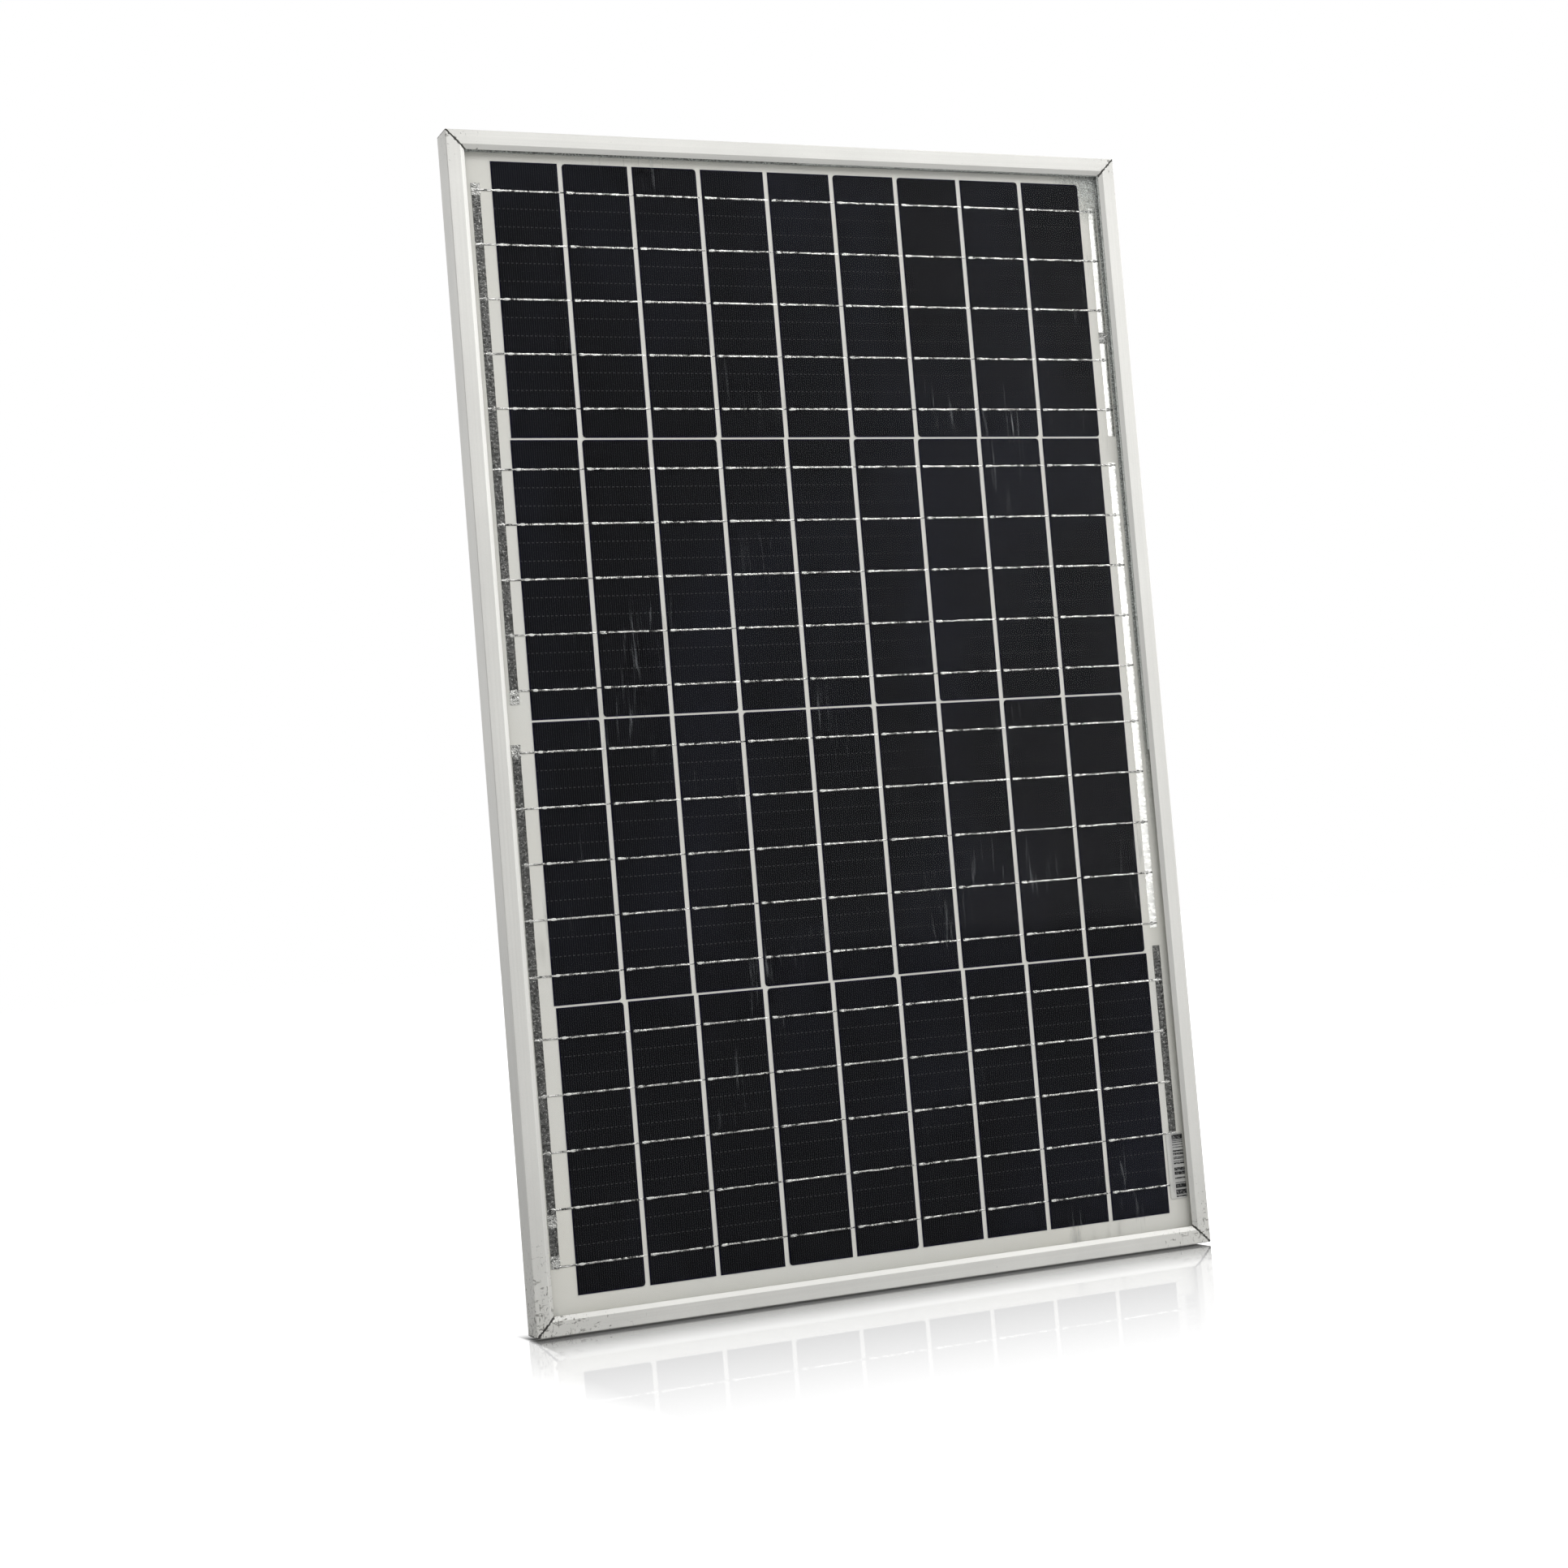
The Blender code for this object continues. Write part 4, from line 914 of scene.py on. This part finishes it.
def bus_box(node):
    """Where a bus ribbon lies, as its (low, high) corners. A lead ribbon's folds are left out."""
    low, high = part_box(node)
    if node.startswith("lead"):
        low.x = high.x - BUS_WIDTH
        if node.endswith("lower"):
            high.z = low.z + LOWER_LEAD_BUS
    high.y = low.y + BUS_THICKNESS
    return low, high


# Settings and operators


class SolarArraySettings(bpy.types.PropertyGroup):
    """Sizes of the cell array that a user would change."""

    cell_width: bpy.props.FloatProperty(
        name="Cell width", description="Width of one quarter-cut cell", default=0.0396875, unit="LENGTH"
    )
    column_pitch: bpy.props.FloatProperty(
        name="Column pitch", description="Distance from one cell to the next", default=0.0425, unit="LENGTH"
    )
    array_left: bpy.props.FloatProperty(
        name="Array inset", description="From the frame to the first cell", default=0.0261, unit="LENGTH"
    )
    cell_margin: bpy.props.FloatProperty(
        name="Cell margin", description="Bare edge round each cell", default=0.0006, unit="LENGTH"
    )
    corner_cut: bpy.props.FloatProperty(
        name="Corner cut", description="Size of a wafer's cut corner", default=0.0018, unit="LENGTH"
    )
    finger_pitch: bpy.props.FloatProperty(
        name="Finger pitch", description="Distance between printed fingers", default=0.00132, unit="LENGTH"
    )
    ribbon_width: bpy.props.FloatProperty(
        name="Ribbon width", description="Width of a cell ribbon", default=0.0010, unit="LENGTH"
    )
    bar_height: bpy.props.FloatProperty(
        name="Label bar", description="Height of the thinnest bar on the label", default=0.0005, unit="LENGTH"
    )


class StageSettings(bpy.types.PropertyGroup):
    """The studio's light levels."""

    fill: bpy.props.FloatProperty(
        name="Fill", description="Strength of the light all round", default=0.59, min=0.0
    )
    key_power: bpy.props.FloatProperty(
        name="Key light", description="Power of the softbox at the right", default=6.0, unit="POWER"
    )
    top_power: bpy.props.FloatProperty(
        name="Top light", description="Power of the overhead softbox", default=33.0, unit="POWER"
    )


class SOLARPANEL_OT_frame(bpy.types.Operator):
    """Model the four mitred rails of the frame and the brackets in its corners"""

    bl_idname = "solarpanel.frame"
    bl_label = "Frame Rails"

    def execute(self, context):
        for side in ("left", "right", "top", "bottom"):
            node = f"frame_rail_{side}"
            rail = refined_copy(node, f"{side}_rail", RAIL_ROUNDING)
            finish = "anodised_upright" if side in ("left", "right") else "anodised_level"
            settle(rail, finish, replaces=[node])
        for number in range(1, 5):
            node = f"corner_key_{number}"
            key = refined_copy(node, f"corner_bracket_{number}", BRACKET_ROUNDING)
            settle(key, "die_cast", replaces=[node])
        return {"FINISHED"}


class SOLARPANEL_OT_sheets(bpy.types.Operator):
    """Finish the glass, the films, the seal and the labels"""

    bl_idname = "solarpanel.sheets"
    bl_label = "Glass and Films"

    def execute(self, context):
        finishes = {
            "cover_glass": "cover_glass",
            "front_encapsulant": "clear_film",
            "rear_encapsulant": "white_film",
            "backsheet": "backsheet",
            "edge_seal": "edge_sealant",
            "serial_label": "serial_film",
            "rating_label": "rating_film",
        }
        for node, finish in finishes.items():
            wear(NODES[node], finish)
        return {"FINISHED"}


class SOLARPANEL_OT_bead(bpy.types.Operator):
    """Model the bead of sealant squeezed out between the glass and the frame's lip"""

    bl_idname = "solarpanel.bead"
    bl_label = "Sealant Bead"

    def execute(self, context):
        glass_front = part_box("cover_glass")[0].y
        front = glass_front - BEAD_RISE / 2
        right, top = HIGH.x - LIP_REACH, HIGH.z - LIP_REACH
        bottom, left = LOW.z + BEAD_START * (HIGH.z - LOW.z), (LOW.x + HIGH.x) / 2
        sides = {
            "right": (0, (right - BEAD_WIDTH / 3, front, bottom), (right + BEAD_WIDTH / 3, front, top)),
            "top": (2, (left, front, top - BEAD_WIDTH / 6), (right, front, top + BEAD_WIDTH / 3)),
        }
        for seed, (side, (across, low, high)) in enumerate(sides.items()):
            along = 2 - across
            steps = {across: 5, along: round((high[along] - low[along]) / HAND_STEP)}
            bead = panel_strip(f"sealant_bead_{side}", low, high, steps[0], steps[2])
            middle = (low[across] + high[across]) / 2
            edit(bead, "VERT", lambda point: abs(point.co[across] - middle) < BEAD_WIDTH / 6)
            bpy.ops.transform.translate(value=(0, -BEAD_RISE / 2, 0))
            close_edit()
            roughen(bead, BEAD_WOBBLE, seed)
            edit(bead, "FACE", everything)
            bpy.ops.mesh.extrude_region_move(TRANSFORM_OT_translate={"value": (0, BEAD_RISE, 0)})
            bpy.ops.transform.resize(value=(1, 0, 1), center_override=(0, glass_front, 0))
            close_edit()
            make_outward(bead)
            smooth(bead)
            settle(bead, "squeezed_bead")
        return {"FINISHED"}


class SOLARPANEL_OT_cells(bpy.types.Operator):
    """Model the cells of all four strings"""

    bl_idname = "solarpanel.cells"
    bl_label = "Cells"

    def execute(self, context):
        templates = {side: cell_template(side) for side in "-LR"}
        for string in range(STRINGS):
            node = f"cell_string_{string + 1}"
            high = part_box(node)[1]
            for column in range(COLUMNS):
                offset = Vector((cell_edge(string, column), high.y - CELL_THICKNESS, high.z))
                template = templates[CUT_SIDES[string][column]]
                cell = copy_at(template, f"cell_{string + 1}_{column + 1}", offset)
                settle(cell, "silicon_cell", replaces=[node])
        for template in templates.values():
            bpy.data.objects.remove(template)
        return {"FINISHED"}


class SOLARPANEL_OT_ribbons(bpy.types.Operator):
    """Model the ribbons that run over each string's cells and dip behind the next one"""

    bl_idname = "solarpanel.ribbons"
    bl_label = "Cell Ribbons"

    def execute(self, context):
        settings = context.scene.solar_array
        cell_width, pitch = settings.cell_width, settings.column_pitch
        for string in range(STRINGS):
            node = f"cell_string_{string + 1}"
            low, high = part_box(node)
            drop = high.y - low.y + RIBBON_CROWN
            gap = (cell_width, pitch - RIBBON_START / 4)
            left_bus, right_bus = (bus_box(name) for name in STRING_ENDS[string])
            first = cell_edge(string, 0)
            last = cell_edge(string, COLUMNS - 1)
            lengths = {
                "first": (left_bus[0].x - first, pitch + RIBBON_TUCK, None, gap),
                "middle": (RIBBON_START, pitch + RIBBON_TUCK, RIBBON_START, gap),
                "last": (RIBBON_START, right_bus[1].x - last, RIBBON_START, None),
            }
            templates = {}
            for name, (start, end, swell, dip) in lengths.items():
                front = low.y + RIBBON_CROWN
                sheet = ribbon_sheet(f"ribbon_{name}", start, end, settings.ribbon_width, front)
                shape_ribbon(sheet, swell, dip, drop)
                templates[name] = sheet
            pieces = []
            for z in ribbon_heights(string):
                for column in range(COLUMNS):
                    kind = {0: "first", COLUMNS - 1: "last"}.get(column, "middle")
                    offset = Vector((cell_edge(string, column), 0, z))
                    pieces.append(copy_at(templates[kind], f"ribbon_{column}", offset))
            ribbons = join(f"string_{string + 1}_ribbons", pieces)
            roughen(ribbons, RIBBON_WOBBLE, string)
            smooth(ribbons)
            settle(ribbons, "ribbon", replaces=[node])
            for template in templates.values():
                bpy.data.objects.remove(template)
            self.pads(string, low.y)
        return {"FINISHED"}

    def pads(self, string, front):
        """The bright blob of solder where each ribbon lands on a cell."""
        template = solder_blob(PAD_SIZE, 0.0, (1, 1, 1))
        pieces = []
        for z in ribbon_heights(string):
            for column in range(COLUMNS):
                start = cell_edge(string, column) + RIBBON_START + PAD_SIZE[0] / 2
                pieces.append(copy_at(template, "pad", Vector((start, front + RIBBON_CROWN, z))))
        bpy.data.objects.remove(template)
        pads = join(f"string_{string + 1}_solder_pads", pieces)
        roughen(pads, PAD_WOBBLE, 40 + string)
        smooth(pads)
        settle(pads, "pad_solder", replaces=[f"cell_string_{string + 1}"])


class SOLARPANEL_OT_buses(bpy.types.Operator):
    """Model the hammered bus ribbons and the two lead ribbons that fold back to the junction box"""

    bl_idname = "solarpanel.buses"
    bl_label = "Bus Ribbons"

    def execute(self, context):
        for seed, node in enumerate(BUSES):
            low, high = bus_box(node)
            steps = round((high.z - low.z) / HAND_STEP)
            bus = panel_strip(f"{node}_strip", tuple(low), (high.x, low.y, high.z), 7, steps)
            thicken(bus, BUS_THICKNESS)
            roughen(bus, BUS_WOBBLE, 10 + seed)
            smooth(bus)
            # Two buses wear the painted highlight copy of the bus finish, the rest its painted-shade copy.
            finish = "painted_lit_bus" if node in PAINTED_LIT_BUSES else "bus"
            settle(bus, finish, replaces=[node])
            if node.startswith("lead"):
                self.fold(node, high.y)
        return {"FINISHED"}

    def fold(self, node, rear):
        """The lead ribbon's run behind the bus: what is left of it behind the bus's rear face."""
        run = refined_copy(node, f"{node}_run", FOLD_ROUNDING, 1)
        edit(run, "FACE", everything)
        bpy.ops.mesh.bisect(plane_co=(0, rear, 0), plane_no=(0, 1, 0), use_fill=True, clear_inner=True)
        close_edit()
        settle(run, "lead", replaces=[node])


class SOLARPANEL_OT_joints(bpy.types.Operator):
    """Model the solder joints where the ribbons cross the bus ribbons"""

    bl_idname = "solarpanel.joints"
    bl_label = "Solder Joints"

    def execute(self, context):
        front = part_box("cell_string_1")[0].y
        rear = bus_box("bus_ribbon_right")[1].y
        template = solder_blob(JOINT_SIZE, JOINT_SIZE[0] / 4, JOINT_DRAW)
        middle_y = (front + rear) / 2
        for seed, node in enumerate(BUSES):
            low, high = bus_box(node)
            middle_x = (low.x + high.x) / 2
            pieces = []
            for string in range(STRINGS):
                if node not in STRING_ENDS[string]:
                    continue
                inward = 1 if node == STRING_ENDS[string][0] else -1
                for z in ribbon_heights(string):
                    offset = Vector((middle_x + inward * JOINT_SIZE[0] / 3, middle_y, z))
                    pieces.append(copy_at(template, "joint", offset))
            joints = join(f"{node}_joints", pieces)
            roughen(joints, JOINT_WOBBLE, 20 + seed)
            smooth(joints)
            settle(joints, "solder")
        bpy.data.objects.remove(template)
        self.hammered_ends(front)
        return {"FINISHED"}

    def hammered_ends(self, front):
        """Squares of hammered solder over the ends of the left bus ribbons."""
        width, height = HAMMERED_SIZE
        places = []
        for node in BUSES[:2]:
            low, high = bus_box(node)
            middle = (low.x + high.x) / 2
            places.append((middle, high.z - height / 2))
            places.append((middle, low.z + height / 2))
        places.append((places[-1][0], places[-1][1] + HAMMERED_RISE))
        low, high = bus_box("lead_ribbon_upper")
        places.append(((low.x + high.x) / 2, high.z - HAMMERED_DROP))
        pads = []
        y = front + RIBBON_CROWN
        for x, z in places:
            low, high = (x - width / 2, y, z - height / 2), (x + width / 2, y, z + height / 2)
            pads.append(panel_strip("pad", low, high, 12, 15))
        pad = join("hammered_solder_pads", pads)
        thicken(pad, BUS_THICKNESS)
        roughen(pad, HAMMERED_WOBBLE, 31)
        settle(pad, "solder")


# Each junction box piece: its node, its new name, its edge rounding and its finish
BOX_PIECES = (
    ("junction_box_base", "junction_box_tray", 0.00012, "black_plastic"),
    ("junction_box_lid", "junction_box_cover", 0.00012, "black_plastic"),
    ("junction_box_gasket", "lid_gasket", 0.00008, "black_rubber"),
    ("junction_box_pad", "adhesive_pad", 0.00010, "adhesive_foam"),
    ("lid_hinge_pin", "hinge_pin_rod", 0.00008, "plated_steel"),
    ("cable_grommet_upper", "grommet_upper", 0.00015, "black_rubber"),
    ("cable_grommet_lower", "grommet_lower", 0.00015, "black_rubber"),
    ("terminal_strip_upper", "terminal_plate_upper", 0.00010, "stamped_brass"),
    ("terminal_strip_lower", "terminal_plate_lower", 0.00010, "stamped_brass"),
    *((f"terminal_screw_{n}", f"clamp_screw_{n}", 0.00010, "plated_steel") for n in range(1, 5)),
    ("bypass_diode", "axial_diode", 0.00010, "diode_resin"),
)


class SOLARPANEL_OT_junction_box(bpy.types.Operator):
    """Model the junction box, its hinged lid and what it holds"""

    bl_idname = "solarpanel.junction_box"
    bl_label = "Junction Box"

    def execute(self, context):
        for node, name, bevel, finish in BOX_PIECES:
            piece = refined_copy(node, name, bevel)
            settle(piece, finish, BODIES[node], [node])
        return {"FINISHED"}


class SOLARPANEL_OT_stage(bpy.types.Operator):
    """Set up the pale floor, the soft studio light and the camera"""

    bl_idname = "solarpanel.stage"
    bl_label = "Studio Stage"

    def execute(self, context):
        context.scene.view_settings.view_transform = "Standard"
        context.scene.cycles.transparent_max_bounces = 24
        self.floor()
        self.world(context)
        self.lights(context.scene.solar_stage)
        self.camera(context)
        return {"FINISHED"}

    def floor(self):
        """A pale floor. To the camera it is lit by painted light that fades out under the panel's foot into a
        painted contact shadow, and it mirrors the panel, only in front.
        """
        bpy.ops.object.select_all(action="DESELECT")
        bpy.ops.mesh.primitive_plane_add(size=40, location=(0, 0, LOW.z - FLOOR_GAP))
        floor = bpy.context.object
        floor.name = "studio_floor"
        tree, shader, place = new_finish("pale_floor", 0.6)
        axes = axes_of(tree, place)
        in_front = multiply(tree, axes[1], -1.0)
        behind = multiply(tree, axes[1], 3.0)
        beside = subtract(tree, absolute(tree, axes[0]), HIGH.x)
        from_foot = larger(tree, in_front, behind)
        from_foot = larger(tree, from_foot, multiply(tree, beside, 20.0))
        to_camera = add_node(tree, "ShaderNodeLightPath").outputs["Is Camera Ray"]
        # To the camera the floor's own colour is dim and painted light lifts it to white; light that bounces
        # off the floor sees it paler.
        pale = blend_colour(tree, to_camera, (0.65, 0.65, 0.65), (0.24, 0.24, 0.24))
        feed(tree, shader, "Base Color", pale)
        feed(tree, shader, "Specular IOR Level", 0.0)
        # Painted light: the floor shines to the camera, less towards the panel's foot, which paints its
        # contact shadow.
        painted_floor_light = rescale(tree, from_foot, 0.0, 0.08, 0.00, 0.90, smooth_step=True)
        painted_floor_light = add(tree, painted_floor_light, rescale(tree, from_foot, 0.3, 1.2, 0.0, 0.35))
        feed(tree, shader, "Emission Color", (1, 1, 1, 1))
        feed(tree, shader, "Emission Strength", multiply(tree, to_camera, painted_floor_light))
        polish = rescale(tree, in_front, 0.005, 0.32, 0.46, 0.0)
        outside = subtract(tree, beside, multiply(tree, in_front, 0.32))
        polish = multiply(tree, polish, rescale(tree, outside, 0.0, 0.012, 1.0, 0.0))
        polish = multiply(tree, polish, above(tree, in_front, 0.0))
        polish = multiply(tree, polish, to_camera)
        gloss = add_node(tree, "ShaderNodeBsdfGlossy", {"Roughness": 0.01, "Color": (1, 1, 1, 1)})
        mixed = add_node(tree, "ShaderNodeMixShader", {0: polish, 1: shader.outputs[0], 2: gloss.outputs[0]})
        feed(tree, tree.nodes["Material Output"], "Surface", mixed.outputs[0])
        wear(floor, "pale_floor")

    def world(self, context):
        """White to the camera, with a fill and a reflection that both brighten from left to right."""
        world = bpy.data.worlds.new("studio")
        context.scene.world = world
        world.use_nodes = True
        tree = world.node_tree
        path = add_node(tree, "ShaderNodeLightPath").outputs
        direction = add_node(tree, "ShaderNodeTexCoord").outputs["Generated"]
        axes = axes_of(tree, direction)
        right_side = rescale(tree, axes[0], 0.30, 0.54, 0.22, 2.15, smooth_step=True)
        behind = rescale(tree, axes[1], 0.0, 0.9, 0.0, 0.80)
        overhead = rescale(tree, axes[2], 0.30, 0.80, 0.0, 0.30)
        in_gloss = add(tree, add(tree, right_side, behind), overhead)
        fill = rescale(tree, axes[0], -1.0, 1.0, 0.50, 1.00)
        ahead = rescale(tree, absolute(tree, axes[1]), 0.0, 1.0, 0.0, 0.45)
        fill = add(tree, fill, ahead)
        fill = multiply(tree, fill, context.scene.solar_stage.fill)
        level = blend_value(tree, path["Is Glossy Ray"], fill, in_gloss)
        level = blend_value(tree, path["Is Camera Ray"], level, 1.0)
        feed(tree, tree.nodes["Background"], "Strength", level)
        feed(tree, tree.nodes["Background"], "Color", (1.0, 1.0, 1.0, 1.0))

    def lights(self, stage):
        powers = {"key_softbox": stage.key_power, "top_softbox": stage.top_power}
        for name, (azimuth, elevation, distance, size) in SOFTBOXES.items():
            turn, tilt = math.radians(azimuth), math.radians(elevation)
            away = Vector((math.sin(turn) * math.cos(tilt), -math.cos(turn) * math.cos(tilt), math.sin(tilt)))
            bpy.ops.object.select_all(action="DESELECT")
            bpy.ops.object.light_add(type="AREA", location=(LOW + HIGH) / 2 + away * distance)
            lamp = bpy.context.object
            lamp.name = name
            lamp.rotation_euler = (-away).to_track_quat("-Z", "Y").to_euler()
            lamp.data.shape = "RECTANGLE"
            lamp.data.size, lamp.data.size_y = size
            lamp.data.energy = powers[name]

    def camera(self, context):
        """Low, from the panel's left, looking slightly up."""
        bpy.ops.object.select_all(action="DESELECT")
        bpy.ops.object.camera_add(location=CAMERA_PLACE)
        camera = bpy.context.object
        camera.rotation_euler = Matrix((CAMERA_RIGHT, CAMERA_UP, CAMERA_BACK)).transposed().to_euler()
        camera.data.lens = CAMERA_LENS
        camera.data.sensor_width = 36
        context.scene.camera = camera


class SOLARPANEL_PT_panel(bpy.types.Panel):
    """The sidebar's list of what can be built"""

    bl_idname = "SOLARPANEL_PT_panel"
    bl_label = "Solar Panel"
    bl_space_type = "VIEW_3D"
    bl_region_type = "UI"
    bl_category = "Solar Panel"

    def draw(self, context):
        for operator in OPERATORS:
            self.layout.operator(operator.bl_idname)
        for settings in (context.scene.solar_array, context.scene.solar_stage):
            for name in settings.bl_rna.properties.keys():
                if name not in ("rna_type", "name"):
                    self.layout.prop(settings, name)


OPERATORS = (
    SOLARPANEL_OT_frame,
    SOLARPANEL_OT_sheets,
    SOLARPANEL_OT_bead,
    SOLARPANEL_OT_cells,
    SOLARPANEL_OT_ribbons,
    SOLARPANEL_OT_buses,
    SOLARPANEL_OT_joints,
    SOLARPANEL_OT_junction_box,
    SOLARPANEL_OT_stage,
)
CLASSES = (SolarArraySettings, StageSettings, *OPERATORS, SOLARPANEL_PT_panel)


def register():
    for each in CLASSES:
        bpy.utils.register_class(each)
    bpy.types.Scene.solar_array = bpy.props.PointerProperty(type=SolarArraySettings)
    bpy.types.Scene.solar_stage = bpy.props.PointerProperty(type=StageSettings)


def unregister():
    del bpy.types.Scene.solar_stage
    del bpy.types.Scene.solar_array
    for each in reversed(CLASSES):
        bpy.utils.unregister_class(each)


def main():
    register()
    build_groups()
    build_finishes()
    for operator in OPERATORS:
        category, name = operator.bl_idname.split(".")
        getattr(getattr(bpy.ops, category), name)()


if __name__ == "__main__":
    main()
